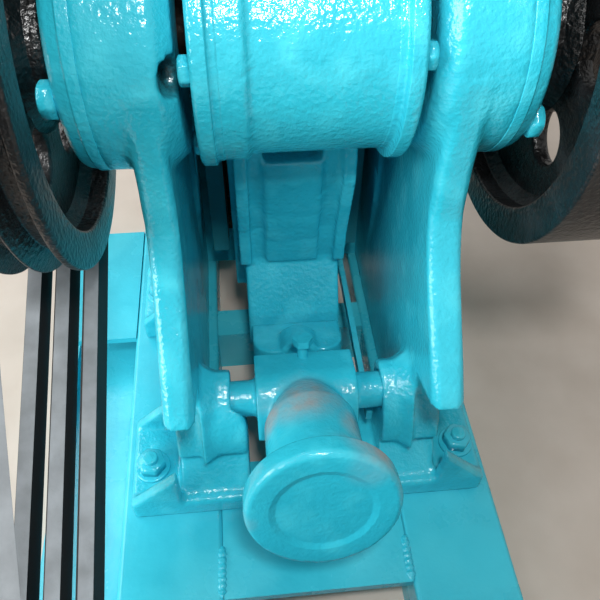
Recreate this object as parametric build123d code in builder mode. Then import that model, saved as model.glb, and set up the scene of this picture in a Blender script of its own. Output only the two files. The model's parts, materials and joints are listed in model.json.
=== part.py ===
from build123d import *
import os
from math import asin, atan2, cos, degrees, radians, sin, sqrt, tan

os.makedirs("parts", exist_ok=True)

# Small single-toggle jaw crusher for a laboratory, on a low steel base with its motor.
# Millimetres. +X is the flywheel side, +Y the feed side, +Z up. The origin lies on the
# floor, under the centre of the base.

# Base frame
base_length = 680.0
base_width = 288.0
base_height = 50.0
rail_width = 76.0
base_steel = 6.0
rail_corner = 3.6
rail_gap_half = base_width / 2 - rail_width
front_cross_length = 46.0
rear_cross_length = 30.0
discharge_rear_y = 8.0
discharge_front_y = 140.0
slot_front_y = -97.0
slot_rear_y = -146.0
side_rail_width = 66.0
side_rail_height = 20.0
side_rail_rear_y = -300.0
side_rail_front_y = 230.0
deck_steel = 8.0
tie_plate_rear_y = 144.0
tie_plate_length = 144.0

# Trunnion of the adjuster, the point that the rear of the machine is laid out from
trunnion_y = 20.0
trunnion_rise = 75.0
trunnion_z = base_height + trunnion_rise
adjuster_tilt = 17.0

# Main shaft and its eccentric
shaft_reach = 98.0
shaft_rise = 230.0
shaft_y = trunnion_y + shaft_reach
shaft_z = trunnion_z + shaft_rise
shaft_radius = 25.0
journal_radius = 31.0
eccentric = 4.0
journal_run_out = 2.0
running_fit = 0.05
seat_gap = 0.3

# Side walls and main bearing housings
wall_inner = 76.0
wall_thick = 20.0
wall_outer = wall_inner + wall_thick
wall_edge_chamfer = 4.0
wall_top_rise = 12.0
wall_top_length = 60.0
housing_radius = 73.0
boss_end = 66.0
boss_chamfer = 5.0
housing_end = 111.0
cover_end = 127.0
cover_step = 118.0
cover_step_depth = 1.5
liner_step = 10.0
pad_foot_reach = 20.0
pad_top_reach = 14.0
pad_shoulder_drop = 60.0
cheek_foot_reach = 15.0
cheek_top_reach = 9.0
cheek_inset = 4.0
cheek_shoulder_drop = 66.0
foot_thick = 20.0
foot_reach = 134.0
foot_length = 74.0
rear_foot_reach = 52.0
front_foot_reach = 122.0
rib_thick = 8.0
foot_front_offset = 18.0
foot_wall_toe = 14.0

# Rear rim of the side walls: how far behind and above the trunnion its corners lie
nose_rise = 50.0
nose_reach = 53.0
nose_root_rise = 34.0
nose_root_reach = 12.0
nose_top_rise = 59.0
nose_top_reach = 46.0
rim_low_rise = 92.0
rim_low_reach = 14.0
rim_middle_rise = 140.0
rim_middle_reach = -22.0
rim_high_rise = 178.0
rim_high_reach = -32.0
rim_end_drop = 34.0
rim_end_reach = 62.0

# Lugs that carry the journals of the adjuster
trunnion_radius = 13.5
lug_inner = 54.5
lug_rear_reach = 30.0
lug_front_reach = 20.0
lug_top_rise = 20.0
lug_top_setback = 5.0
lug_nose_drop = 26.0
lug_slope_reach = 15.5
lug_slope_rise = 9.0
lug_undercut = 7.0
lug_corner = 9.0
apron_reach = 44.0
foot_inner = 44.5
left_lip_inner = 44.5
lip_top_rise = 11.0
lip_round = 9.0
lip_bulge_width = 3.0
lip_bulge_drop = 6.3
lip_clearance = 1.5

# Crushing chamber
chamber_half = 52.0
mouth_z = 398.0
chamber_foot_z = 100.0
moving_face_top_y = 199.0
moving_face_foot_y = 213.0
gape = 100.0
discharge_gap = 16.0
jaw_plate_thick = 20.0
front_wall_thick = 24.0
tooth_pitch = 13.0
tooth_height = 4.0
tooth_crest_half = 2.34

# Moving jaw
barrel_radius = 66.0
barrel_half = 49.0
barrel_band_radius = 69.0
barrel_band_width = 17.5
barrel_cover_radius = 72.0
barrel_cover_thick = 10.0
jaw_half = 47.0
jaw_side_half = 42.0
jaw_rib_half = 20.0
jaw_slab = 24.0
jaw_foot_z = 88.0
side_rib_thick = 9.0
recess_depth = 7.0
centre_rib_depth = 3.0
jaw_pad_rise = 39.0
jaw_pad_height = 26.0
jaw_pad_depth = 5.0
slab_top_thick = 14.0
slab_shoulder_drop = 90.0
slab_foot_rise = 40.0
back_high_rise = 125.0
back_high_reach = 88.0
back_middle_rise = 67.0
back_middle_reach = 103.0
back_low_rise = 31.0
back_low_reach = 106.0
back_ledge_reach = 112.0
back_ledge_rise = 27.0
rib_gap_rise = 18.0
jaw_back_top_drop = 53.0
link_half = 2.25
link_height = 10.0
link_drop = 22.5
link_rear_reach = 6.0
link_length = 167.0

# Wheels and belts
wheel_radius = 130.0
rim_inner = 128.7
rim_thick = 22.0
belt_pitch = 19.0
belt_count = 3
belt_top = 17.0
belt_height = 11.0
belt_flank = 20.0
groove_depth = 13.0
groove_edge = 14.0
flywheel_width = 60.0
web_inset = 17.0
web_thick = 14.0
hub_radius = 44.0
hub_inset = 4.0
wheel_holes = 6
wheel_hole_radius = 17.0
wheel_hole_circle = 66.0
wheel_hole_start = 42.0
shaft_cap_radius = 34.0
shaft_cap_thick = 7.0

# Motor
motor_y = -231.0
motor_axis_height = 80.0
motor_radius = 68.0
motor_fin_depth = 9.0
motor_fins = 32
motor_fin_thick = 3.0
motor_length = 245.0
motor_shaft_radius = 9.5
motor_pulley_radius = 46.0
motor_body_share = 0.72
motor_foot_length = 130.0
motor_foot_outer = 80.0
motor_foot_thick = 12.0
motor_foot_toe = 23.0
motor_foot_web_drop = 34.0
terminal_box_size = 84.0
terminal_box_height = 40.0
terminal_box_corner = 8.0
motor_gap = 8.0

# Adjuster
block_half = 36.6
block_depth = 44.0
block_top = 22.5
block_foot = 34.0
block_chamfer = 12.0
sleeve_radius = 32.5
sleeve_neck = 27.0
sleeve_swell = 36.0
disc_radius = 49.0
disc_thick = 16.0
disc_face = 111.0
disc_recess_radius = 29.0
disc_recess_depth = 1.6
spindle_radius = 14.0
disc_spindle = 30.0
seat_rear = 43.0
seat_spindle = 70.0
toggle_nose = 88.0
toggle_half = 36.0
toggle_thick = 18.0
nose_radius = 9.0
lobe_radius = 17.0
toggle_boss_radius = 17.5
toggle_boss_length = 24.0
lock_screw_radius = 4.0
lock_screw_height = 11.0
lock_head_radius = 7.5
lock_head_height = 5.5
lock_screw_offset = 17.0

tilt = radians(adjuster_tilt)
rear_dir = Vector(0, -cos(tilt), sin(tilt))
front_dir = Vector(0, cos(tilt), -sin(tilt))
rise_dir = Vector(0, sin(tilt), cos(tilt))
trunnion = Vector(0, trunnion_y, trunnion_z)
barrel_centre = Vector(0, shaft_y, shaft_z) + rear_dir * eccentric
fixed_face_top_y = moving_face_top_y + gape
fixed_face_foot_y = moving_face_foot_y + discharge_gap
chamber_rise = mouth_z - chamber_foot_z
fixed_slope = atan2(fixed_face_top_y - fixed_face_foot_y, chamber_rise)
moving_slope = atan2(moving_face_top_y - moving_face_foot_y, chamber_rise)
rear_foot_y = trunnion_y - rear_foot_reach
front_foot_y = trunnion_y + front_foot_reach
lug_rear_y = trunnion_y - lug_rear_reach
lug_front_y = trunnion_y + lug_front_reach
lug_top_z = trunnion_z + lug_top_rise
lug_nose_z = trunnion_z - lug_nose_drop
lip_top_z = trunnion_z + lip_top_rise
apron_y = trunnion_y - apron_reach


def save(shape, name):
    shape.label = name
    export_step(shape, f"parts/{name}.step")


def side_plane(x):
    """Plane across the machine at x, with its own x along +Y and its own y along +Z."""
    return Plane(origin=(x, 0, 0), x_dir=(0, 1, 0), z_dir=(1, 0, 0))


def fixed_back(z, depth):
    """Y of a plane parallel to the fixed jaw's face, at a depth behind it, at height z."""
    return fixed_face_foot_y + (z - chamber_foot_z) * tan(fixed_slope) + depth / cos(fixed_slope)


def moving_back(z, depth):
    """Y of a plane parallel to the moving jaw's face, at a depth behind it, at height z."""
    return moving_face_foot_y + (z - chamber_foot_z) * tan(moving_slope) - depth / cos(moving_slope)


def adjuster_plane(distance):
    """Plane square to the adjuster's axis, at a distance behind the trunnion."""
    return Plane(origin=trunnion + rear_dir * distance, x_dir=(1, 0, 0), z_dir=rear_dir)


# Base: two channels laid on their flanges, closed by cross members
for side, name in ((-1, "left_base_rail"), (1, "right_base_rail")):
    rail_x = side * (base_width - rail_width) / 2
    with BuildPart() as base_rail:
        with BuildSketch(Plane.XZ.offset(base_length / 2)):
            with Locations((rail_x, base_height / 2)):
                Rectangle(rail_width, base_height)
            with Locations((rail_x, (base_height - base_steel) / 2)):
                Rectangle(rail_width - 2 * base_steel, base_height - base_steel, mode=Mode.SUBTRACT)
        extrude(amount=-base_length)
        fillet(base_rail.edges().filter_by(Axis.Y).group_by(Axis.Z)[-1], rail_corner)
    save(base_rail.part, name)


def cross_member(y_low, y_high, depth, name):
    with BuildPart() as member:
        with BuildSketch(Plane.XY.offset(base_height - depth)):
            with Locations((0, (y_low + y_high) / 2)):
                Rectangle(2 * rail_gap_half, y_high - y_low)
        extrude(amount=depth)
        if depth > deck_steel:
            with BuildSketch(Plane.XY.offset(base_height - depth)):
                with Locations((0, (y_low + y_high) / 2)):
                    Rectangle(2 * rail_gap_half, y_high - y_low - 2 * base_steel)
            extrude(amount=depth - base_steel, mode=Mode.SUBTRACT)
    save(member.part, name)


cross_member(base_length / 2 - front_cross_length, base_length / 2, base_height, "front_cross_member")
cross_member(discharge_front_y, discharge_front_y + rear_cross_length, base_height, "chamber_cross_member")
cross_member(slot_front_y, discharge_rear_y, deck_steel, "deck_plate")
cross_member(-base_length / 2 + rear_cross_length, slot_rear_y, deck_steel, "motor_plate")
cross_member(-base_length / 2, -base_length / 2 + rear_cross_length, base_height, "rear_cross_member")

with BuildPart() as side_rail:
    with BuildSketch(Plane.XZ.offset(-side_rail_front_y)):
        with Locations((-base_width / 2 - side_rail_width / 2, base_steel / 2)):
            Rectangle(side_rail_width, base_steel)
        with Locations((-base_width / 2 - side_rail_width + base_steel / 2, side_rail_height / 2)):
            Rectangle(base_steel, side_rail_height)
    extrude(amount=side_rail_front_y - side_rail_rear_y)
save(side_rail.part, "left_side_rail")

# Plate welded level with the top of the base, over the left rail
with BuildPart() as tie_plate:
    with BuildSketch(Plane.XY.offset(base_height - base_steel)):
        with Locations((-(base_width + side_rail_width) / 2, tie_plate_rear_y + tie_plate_length / 2)):
            Rectangle(side_rail_width, tie_plate_length)
    extrude(amount=base_steel)
save(tie_plate.part, "left_tie_plate")


# Side walls, cast with their bearing housing, feet and adjuster lug
def behind(reach, rise):
    """Point of the side plane at a reach behind the trunnion and a rise above it."""
    return (trunnion_y - reach, trunnion_z + rise)


def side_wall(side, lip_inner, name):
    near = side_plane(side * wall_inner)
    front_foot_high = fixed_back(base_height, jaw_plate_thick + front_wall_thick) + foot_front_offset
    front_top_y = fixed_back(mouth_z, jaw_plate_thick + front_wall_thick)
    wall_rear_y = lug_rear_y + lug_undercut
    rim_end = (shaft_y - rim_end_reach, shaft_z - rim_end_drop)
    apron = [
        (apron_y, base_height),
        (apron_y, base_height + foot_thick),
        (wall_rear_y, lug_nose_z - lug_corner),
        (lug_rear_y, lug_nose_z),
    ]
    with BuildPart() as wall:
        with BuildSketch(near):
            with BuildLine():
                Polyline(
                    *apron,
                    behind(lug_slope_reach, lug_slope_rise),
                    behind(nose_root_reach, nose_root_rise),
                    behind(nose_reach, nose_rise),
                    behind(nose_top_reach, nose_top_rise),
                )
                Spline(
                    behind(nose_top_reach, nose_top_rise),
                    behind(rim_low_reach, rim_low_rise),
                    behind(rim_middle_reach, rim_middle_rise),
                    behind(rim_high_reach, rim_high_rise),
                    rim_end,
                )
                Polyline(
                    rim_end,
                    (shaft_y, shaft_z),
                    (shaft_y, shaft_z + housing_radius - wall_edge_chamfer),
                    (front_top_y - wall_top_length, mouth_z + wall_top_rise),
                    (front_top_y, mouth_z + wall_top_rise),
                    (front_foot_high, base_height),
                    (apron_y, base_height),
                )
            make_face()
        extrude(amount=side * wall_thick)
        chamfer(wall.edges().filter_by(GeomType.BSPLINE), wall_edge_chamfer)
        # Bearing housing, through the wall and on as a boss towards the jaw
        with BuildSketch(side_plane(side * boss_end)):
            with Locations((shaft_y, shaft_z)):
                Circle(housing_radius)
        extrude(amount=side * (housing_end - boss_end))
        boss_rim = wall.edges().filter_by(GeomType.CIRCLE).filter_by_position(
            Axis.X, side * boss_end - seat_gap, side * boss_end + seat_gap
        )
        chamfer(boss_rim, boss_chamfer)
        # Pads behind the cheek plates
        with BuildSketch(near):
            with BuildLine():
                Polyline(
                    (moving_face_foot_y - pad_foot_reach, chamber_foot_z),
                    (moving_face_foot_y - pad_foot_reach, mouth_z - pad_shoulder_drop),
                    (moving_face_foot_y - pad_top_reach, mouth_z),
                    (fixed_face_top_y, mouth_z),
                    (fixed_face_foot_y, chamber_foot_z),
                    close=True,
                )
            make_face()
        extrude(amount=-side * liner_step)
        # Feet with their ribs
        for y_low in (rear_foot_y, front_foot_y):
            with BuildSketch(Plane.XY.offset(base_height)):
                with Locations((side * (wall_outer + foot_reach) / 2, y_low + foot_length / 2)):
                    Rectangle(foot_reach - wall_outer, foot_length)
            extrude(amount=foot_thick)
            for rib_y in (y_low, y_low + foot_length - rib_thick):
                with BuildSketch(Plane.XZ.offset(-rib_y)):
                    with BuildLine():
                        Polyline(
                            (side * wall_outer, base_height + foot_thick),
                            (side * foot_reach, base_height + foot_thick),
                            (side * wall_outer, base_height + foot_thick + foot_reach - wall_outer),
                            close=True,
                        )
                    make_face()
                extrude(amount=-rib_thick)
        with BuildSketch(Plane.XY.offset(base_height)):
            with Locations((side * (foot_inner + wall_outer) / 2, (rear_foot_y + lug_front_y) / 2)):
                Rectangle(wall_outer - foot_inner, lug_front_y - rear_foot_y)
        extrude(amount=foot_thick)
        # Lug that slopes down over the journal, on the left with a lip behind it
        lug_top_rear = behind(-lug_top_setback, lug_top_rise)
        with BuildSketch(side_plane(side * lip_inner)):
            with BuildLine():
                Polyline(
                    lug_top_rear,
                    (lug_front_y - lug_corner, lug_top_z),
                    (lug_front_y, lug_top_z - lug_corner),
                    (lug_front_y, base_height),
                    *apron,
                )
                ThreePointArc((lug_rear_y, lug_nose_z), behind(lug_slope_reach, lug_slope_rise), lug_top_rear)
            make_face()
        extrude(amount=side * (wall_inner - lip_inner))
        if lip_inner < lug_inner:
            lip_front_y = trunnion_y - trunnion_radius - lip_clearance
            with BuildSketch(side_plane(side * lip_inner)):
                with BuildLine():
                    Polyline(
                        (lip_front_y, base_height + foot_thick),
                        (lug_front_y, base_height + foot_thick),
                        (lug_front_y, lug_top_z),
                        (lip_front_y, lug_top_z),
                        close=True,
                    )
                make_face()
            extrude(amount=side * (lug_inner - lip_inner), mode=Mode.SUBTRACT)
            with BuildSketch(Plane.XZ.offset(-lug_rear_y)):
                with BuildLine():
                    Polyline(
                        (side * lip_inner, lip_top_z - 2 * lip_round),
                        (side * lip_inner, lug_top_z),
                        (side * lug_inner, lug_top_z),
                        (side * lug_inner, lip_top_z),
                    )
                    ThreePointArc(
                        (side * lug_inner, lip_top_z),
                        (side * (lip_inner + lip_bulge_width), lip_top_z - lip_bulge_drop),
                        (side * lip_inner, lip_top_z - 2 * lip_round),
                    )
                make_face()
            extrude(amount=-(lug_front_y - lug_rear_y), mode=Mode.SUBTRACT)
        with BuildSketch(side_plane(side * lip_inner)):
            with Locations((trunnion_y, trunnion_z)):
                Circle(trunnion_radius + running_fit)
        extrude(amount=side * (wall_inner - lip_inner), mode=Mode.SUBTRACT)
        with BuildSketch(side_plane(side * boss_end)):
            with Locations((shaft_y, shaft_z)):
                Circle(shaft_radius + running_fit)
        extrude(amount=side * (housing_end - boss_end), mode=Mode.SUBTRACT)
    save(wall.part, name)


side_wall(-1, left_lip_inner, "left_side_wall")
side_wall(1, lug_inner, "right_side_wall")

with BuildPart() as front_wall:
    with BuildSketch(side_plane(-wall_inner)):
        with BuildLine():
            Polyline(
                (fixed_back(base_height, jaw_plate_thick), base_height),
                (fixed_back(mouth_z, jaw_plate_thick), mouth_z),
                (fixed_back(mouth_z, jaw_plate_thick + front_wall_thick), mouth_z),
                (fixed_back(base_height, jaw_plate_thick + front_wall_thick) + foot_wall_toe, base_height),
                close=True,
            )
        make_face()
    extrude(amount=2 * wall_inner)
save(front_wall.part, "front_wall")

with BuildPart() as bearing_cover:
    with BuildSketch(side_plane(housing_end)):
        with Locations((shaft_y, shaft_z)):
            Circle(housing_radius)
            Circle(shaft_radius + running_fit, mode=Mode.SUBTRACT)
    extrude(amount=cover_step - housing_end)
    with BuildSketch(side_plane(cover_step)):
        with Locations((shaft_y, shaft_z)):
            Circle(housing_radius - cover_step_depth)
            Circle(shaft_radius + running_fit, mode=Mode.SUBTRACT)
    extrude(amount=cover_end - cover_step)
save(bearing_cover.part, "right_bearing_cover")
save(mirror(bearing_cover.part, about=Plane.YZ), "left_bearing_cover")


# Jaw plates with upright teeth that mesh across the chamber
def jaw_plate(foot_y, top_y, half_width, facing, first_tooth, name):
    """A flat-backed plate whose teeth run up the face; facing is +1 towards the feed side."""
    slope = atan2(top_y - foot_y, mouth_z - chamber_foot_z)
    length = (mouth_z - chamber_foot_z) / cos(slope)
    up = Vector(0, sin(slope), cos(slope))
    out = Vector(0, facing * cos(slope), -facing * sin(slope))
    section = Plane(origin=(0, foot_y, chamber_foot_z), x_dir=(1, 0, 0), z_dir=up)
    flip = 1 if section.y_dir.dot(out) > 0 else -1
    count = int((half_width - first_tooth) // tooth_pitch)
    ridge = []
    for index in range(-count, count + 1):
        middle = index * tooth_pitch + first_tooth
        if abs(middle) + tooth_pitch / 2 <= half_width:
            ridge.append((middle + tooth_pitch / 2, -flip * tooth_height))
            ridge.append((middle + tooth_crest_half, 0))
            ridge.append((middle - tooth_crest_half, 0))
            ridge.append((middle - tooth_pitch / 2, -flip * tooth_height))
    ridge.sort(key=lambda point: -point[0])
    outline = [
        (-half_width, -flip * jaw_plate_thick),
        (half_width, -flip * jaw_plate_thick),
        (half_width, -flip * tooth_height),
    ]
    for point in ridge:
        if abs(point[0] - outline[-1][0]) + abs(point[1] - outline[-1][1]) > running_fit:
            outline.append(point)
    if abs(outline[-1][0] + half_width) > running_fit:
        outline.append((-half_width, -flip * tooth_height))
    with BuildPart() as plate:
        with BuildSketch(section):
            with BuildLine():
                Polyline(*outline, close=True)
            make_face()
        extrude(amount=length)
    save(plate.part, name)


jaw_plate(fixed_face_foot_y, fixed_face_top_y, chamber_half, -1, tooth_pitch / 2, "fixed_jaw_plate")
jaw_plate(moving_face_foot_y, moving_face_top_y, jaw_half, 1, 0.0, "moving_jaw_plate")

for side, name in ((-1, "left_cheek_plate"), (1, "right_cheek_plate")):
    with BuildPart() as cheek:
        with BuildSketch(side_plane(side * chamber_half)):
            with BuildLine():
                Polyline(
                    (moving_face_foot_y - cheek_foot_reach, chamber_foot_z + cheek_inset),
                    (moving_face_foot_y - cheek_foot_reach, mouth_z - cheek_shoulder_drop),
                    (moving_face_foot_y - cheek_top_reach, mouth_z - cheek_inset),
                    (fixed_back(mouth_z - cheek_inset, 0) - seat_gap, mouth_z - cheek_inset),
                    (fixed_back(chamber_foot_z + cheek_inset, 0) - seat_gap, chamber_foot_z + cheek_inset),
                    close=True,
                )
            make_face()
        extrude(amount=side * (wall_inner - liner_step - chamber_half))
    save(cheek.part, name)

# Moving jaw: barrel round the eccentric, slab behind the jaw plate, ribbed back
slab_top_y = moving_back(mouth_z, jaw_plate_thick)
slab_foot_y = moving_back(chamber_foot_z, jaw_plate_thick)
pad_centre = trunnion + front_dir * (toggle_nose + seat_gap)


def jaw_back(inset, top_rise):
    """Corners of the jaw's back in the side plane, set in by a depth, from the ledge up to a rise."""
    return [
        behind(-back_ledge_reach, back_ledge_rise),
        behind(-back_low_reach - inset, back_low_rise),
        behind(-back_middle_reach - inset, back_middle_rise),
        behind(-back_high_reach - inset, top_rise),
    ]


with BuildPart() as jaw:
    with BuildSketch(side_plane(-barrel_half)):
        with Locations((barrel_centre.Y, barrel_centre.Z)):
            Circle(barrel_radius)
    extrude(amount=2 * barrel_half)
    with BuildSketch(side_plane(-barrel_half)):
        with Locations((barrel_centre.Y, barrel_centre.Z)):
            Circle(barrel_band_radius)
    extrude(amount=barrel_band_width)
    with BuildSketch(side_plane(-jaw_half)):
        with BuildLine():
            Polyline(
                (slab_foot_y, chamber_foot_z),
                (slab_top_y, mouth_z),
                (slab_top_y - slab_top_thick, mouth_z),
                (slab_top_y - jaw_slab - slab_top_thick, mouth_z - slab_shoulder_drop),
                (slab_foot_y - jaw_slab, chamber_foot_z + slab_foot_rise),
                (slab_foot_y - jaw_slab, jaw_foot_z),
                (moving_back(jaw_foot_z, jaw_plate_thick), jaw_foot_z),
                close=True,
            )
        make_face()
    extrude(amount=2 * jaw_half)
    # Recessed back between the side ribs, then the side ribs and the broad centre rib
    for low, high, inset, top_rise in (
        (-jaw_side_half, jaw_side_half, recess_depth, back_high_rise),
        (-jaw_side_half, -jaw_side_half + side_rib_thick, 0, back_high_rise),
        (-jaw_rib_half, jaw_rib_half, centre_rib_depth, back_high_rise - rib_gap_rise),
        (jaw_side_half - side_rib_thick, jaw_side_half, 0, back_high_rise),
    ):
        top = (barrel_centre.Y, barrel_centre.Z - jaw_back_top_drop)
        if inset == centre_rib_depth:
            top = (slab_foot_y - jaw_slab, trunnion_z + top_rise)
        with BuildSketch(side_plane(low)):
            with BuildLine():
                Polyline(
                    (slab_foot_y - jaw_slab / 2, jaw_foot_z + slab_foot_rise),
                    *jaw_back(inset, top_rise),
                    top,
                    (slab_top_y - jaw_slab / 2, mouth_z - pad_shoulder_drop),
                    close=True,
                )
            make_face()
        extrude(amount=high - low)
    # Raised pad at the foot of the centre rib
    with BuildSketch(side_plane(-jaw_rib_half)):
        with BuildLine():
            Polyline(
                behind(-back_ledge_reach, jaw_pad_rise),
                behind(-back_low_reach - centre_rib_depth + jaw_pad_depth, jaw_pad_rise),
                behind(-back_middle_reach - centre_rib_depth + jaw_pad_depth, jaw_pad_rise + jaw_pad_height),
                behind(-back_ledge_reach, jaw_pad_rise + jaw_pad_height),
                close=True,
            )
        make_face()
    extrude(amount=2 * jaw_rib_half)
    # Lower end with the pad that the toggle bears on
    with BuildSketch(side_plane(-toggle_half - link_half)):
        with BuildLine():
            pad_top = pad_centre + rise_dir * (nose_radius + jaw_pad_depth)
            pad_foot = pad_centre - rise_dir * (nose_radius + jaw_pad_depth)
            Polyline(
                (pad_top.Y, pad_top.Z),
                (pad_foot.Y, pad_foot.Z),
                (slab_foot_y - jaw_slab / 2, jaw_foot_z),
                (slab_foot_y - jaw_slab / 2, trunnion_z + back_low_rise),
                behind(-back_ledge_reach, back_ledge_rise),
                close=True,
            )
        make_face()
    extrude(amount=2 * (toggle_half + link_half))
    with BuildSketch(side_plane(-barrel_half)):
        with Locations((barrel_centre.Y, barrel_centre.Z)):
            Circle(journal_radius + running_fit)
    extrude(amount=2 * barrel_half, mode=Mode.SUBTRACT)
    # The seat of the jaw plate cuts the barrel and its band off flat
    with BuildSketch(side_plane(-barrel_half)):
        with BuildLine():
            Polyline(
                (moving_back(jaw_foot_z - running_fit, jaw_plate_thick), jaw_foot_z - running_fit),
                (moving_back(mouth_z + barrel_radius, jaw_plate_thick), mouth_z + barrel_radius),
                (moving_face_foot_y, mouth_z + barrel_radius),
                (moving_face_foot_y, jaw_foot_z - running_fit),
                close=True,
            )
        make_face()
    extrude(amount=2 * barrel_half, mode=Mode.SUBTRACT)
save(jaw.part, "moving_jaw")

# Flat link that runs back from the jaw's foot under the right journal of the adjuster
with BuildPart() as link:
    with BuildSketch(side_plane(jaw_half)):
        with Locations(behind(link_rear_reach - link_length / 2, -link_drop - link_height / 2)):
            Rectangle(link_length, link_height)
    extrude(amount=2 * link_half)
save(link.part, "tension_link")

with BuildPart() as barrel_cover:
    with BuildSketch(side_plane(barrel_half)):
        with Locations((barrel_centre.Y, barrel_centre.Z)):
            Circle(barrel_cover_radius)
            Circle(journal_radius + running_fit, mode=Mode.SUBTRACT)
    extrude(amount=barrel_cover_thick)
save(barrel_cover.part, "right_barrel_cover")
save(mirror(barrel_cover.part, about=Plane.YZ), "left_barrel_cover")

# Eccentric shaft
pulley_width = (belt_count - 1) * belt_pitch + 2 * groove_edge
shaft_left = rim_inner + pulley_width - hub_inset
shaft_right = rim_inner + flywheel_width - hub_inset
journal_end = barrel_half + barrel_cover_thick + journal_run_out
with BuildPart() as shaft:
    with BuildSketch(side_plane(-shaft_left)):
        with Locations((shaft_y, shaft_z)):
            Circle(shaft_radius)
    extrude(amount=shaft_left + shaft_right)
    with BuildSketch(side_plane(-journal_end)):
        with Locations((barrel_centre.Y, barrel_centre.Z)):
            Circle(journal_radius)
    extrude(amount=2 * journal_end)
save(shaft.part, "eccentric_shaft")

# Grooved flywheel on the left, plain flywheel on the right
flank = tan(radians(belt_flank))
groove_half_top = belt_top / 2 + seat_gap / cos(radians(belt_flank))
groove_half_foot = groove_half_top - groove_depth * flank


def wheel_blank(width, grooved):
    """Half profile of a wheel, radius up and width along x, from its inner side outwards."""
    outline = [(0, wheel_radius - rim_thick), (0, wheel_radius)]
    if grooved:
        for index in range(belt_count):
            middle = groove_edge + index * belt_pitch
            outline.append((middle - groove_half_top, wheel_radius))
            outline.append((middle - groove_half_foot, wheel_radius - groove_depth))
            outline.append((middle + groove_half_foot, wheel_radius - groove_depth))
            outline.append((middle + groove_half_top, wheel_radius))
    outline.append((width, wheel_radius))
    outline.append((width, wheel_radius - rim_thick))
    outline.append((web_inset + web_thick, wheel_radius - rim_thick))
    outline.append((web_inset + web_thick, hub_radius))
    outline.append((width - hub_inset, hub_radius))
    outline.append((width - hub_inset, shaft_radius + running_fit))
    outline.append((hub_inset, shaft_radius + running_fit))
    outline.append((hub_inset, hub_radius))
    outline.append((web_inset, hub_radius))
    outline.append((web_inset, wheel_radius - rim_thick))
    return outline


def wheel(side, width, grooved, name):
    plane = Plane(origin=(side * rim_inner, shaft_y, shaft_z), x_dir=(side, 0, 0), z_dir=(0, -side, 0))
    with BuildPart() as blank:
        with BuildSketch(plane):
            with BuildLine():
                Polyline(*wheel_blank(width, grooved), close=True)
            make_face()
        revolve(axis=Axis((0, shaft_y, shaft_z), (1, 0, 0)))
        with BuildSketch(side_plane(side * rim_inner)):
            with Locations((shaft_y, shaft_z)):
                with PolarLocations(wheel_hole_circle, wheel_holes, start_angle=wheel_hole_start):
                    Circle(wheel_hole_radius)
        extrude(amount=side * width, mode=Mode.SUBTRACT)
    save(blank.part, name)


wheel(-1, pulley_width, True, "pulley_flywheel")
wheel(1, flywheel_width, False, "plain_flywheel")

for side, shaft_reach, name in ((-1, shaft_left, "left_shaft_cap"), (1, shaft_right, "right_shaft_cap")):
    with BuildPart() as shaft_cap:
        with BuildSketch(side_plane(side * shaft_reach)):
            with Locations((shaft_y, shaft_z)):
                Circle(shaft_cap_radius)
        extrude(amount=side * shaft_cap_thick)
    save(shaft_cap.part, name)

# Adjuster: a cast T with two journals, a hand disc behind it and the toggle before it
adjuster_side = Plane(origin=trunnion, x_dir=rear_dir, z_dir=(-1, 0, 0))
with BuildPart() as block:
    with BuildSketch(adjuster_side.offset(-block_half)):
        with BuildLine():
            half_depth = block_depth / 2
            Polyline(
                (0, block_top),
                (-half_depth, block_top),
                (-half_depth, -block_foot),
                (half_depth - block_chamfer, -block_foot),
                (half_depth, -block_foot + block_chamfer),
                (half_depth, 0),
            )
            ThreePointArc(
                (half_depth, 0), (half_depth / sqrt(2), block_top / sqrt(2)), (0, block_top)
            )
        make_face()
    extrude(amount=2 * block_half)
    with BuildSketch(Plane(origin=trunnion, x_dir=rear_dir, z_dir=(1, 0, 0))):
        with BuildLine():
            sleeve_end = disc_face - disc_thick - seat_gap
            Polyline(
                (0, 0),
                (sleeve_end, 0),
                (sleeve_end, -sleeve_radius),
                (sleeve_swell, -sleeve_radius),
                (half_depth, -sleeve_neck),
                (0, -sleeve_neck + lug_corner),
                close=True,
            )
        make_face()
    revolve(axis=Axis(trunnion, rear_dir))
    with BuildSketch(side_plane(-wall_inner + seat_gap)):
        with Locations((trunnion_y, trunnion_z)):
            Circle(trunnion_radius)
    extrude(amount=2 * (wall_inner - seat_gap))
    with BuildSketch(adjuster_plane(-block_depth / 2)):
        Circle(spindle_radius + running_fit)
    extrude(amount=block_depth / 2 + disc_face, mode=Mode.SUBTRACT)
save(block.part, "adjuster_block")

with BuildPart() as disc:
    with BuildSketch(adjuster_plane(disc_face - disc_thick)):
        Circle(disc_radius)
    extrude(amount=disc_thick)
    with BuildSketch(adjuster_plane(disc_face - disc_thick)):
        Circle(spindle_radius)
    extrude(amount=-disc_spindle)
    with BuildSketch(adjuster_plane(disc_face - disc_recess_depth)):
        Circle(disc_recess_radius)
    extrude(amount=disc_recess_depth, mode=Mode.SUBTRACT)
save(disc.part, "adjuster_disc")

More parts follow.
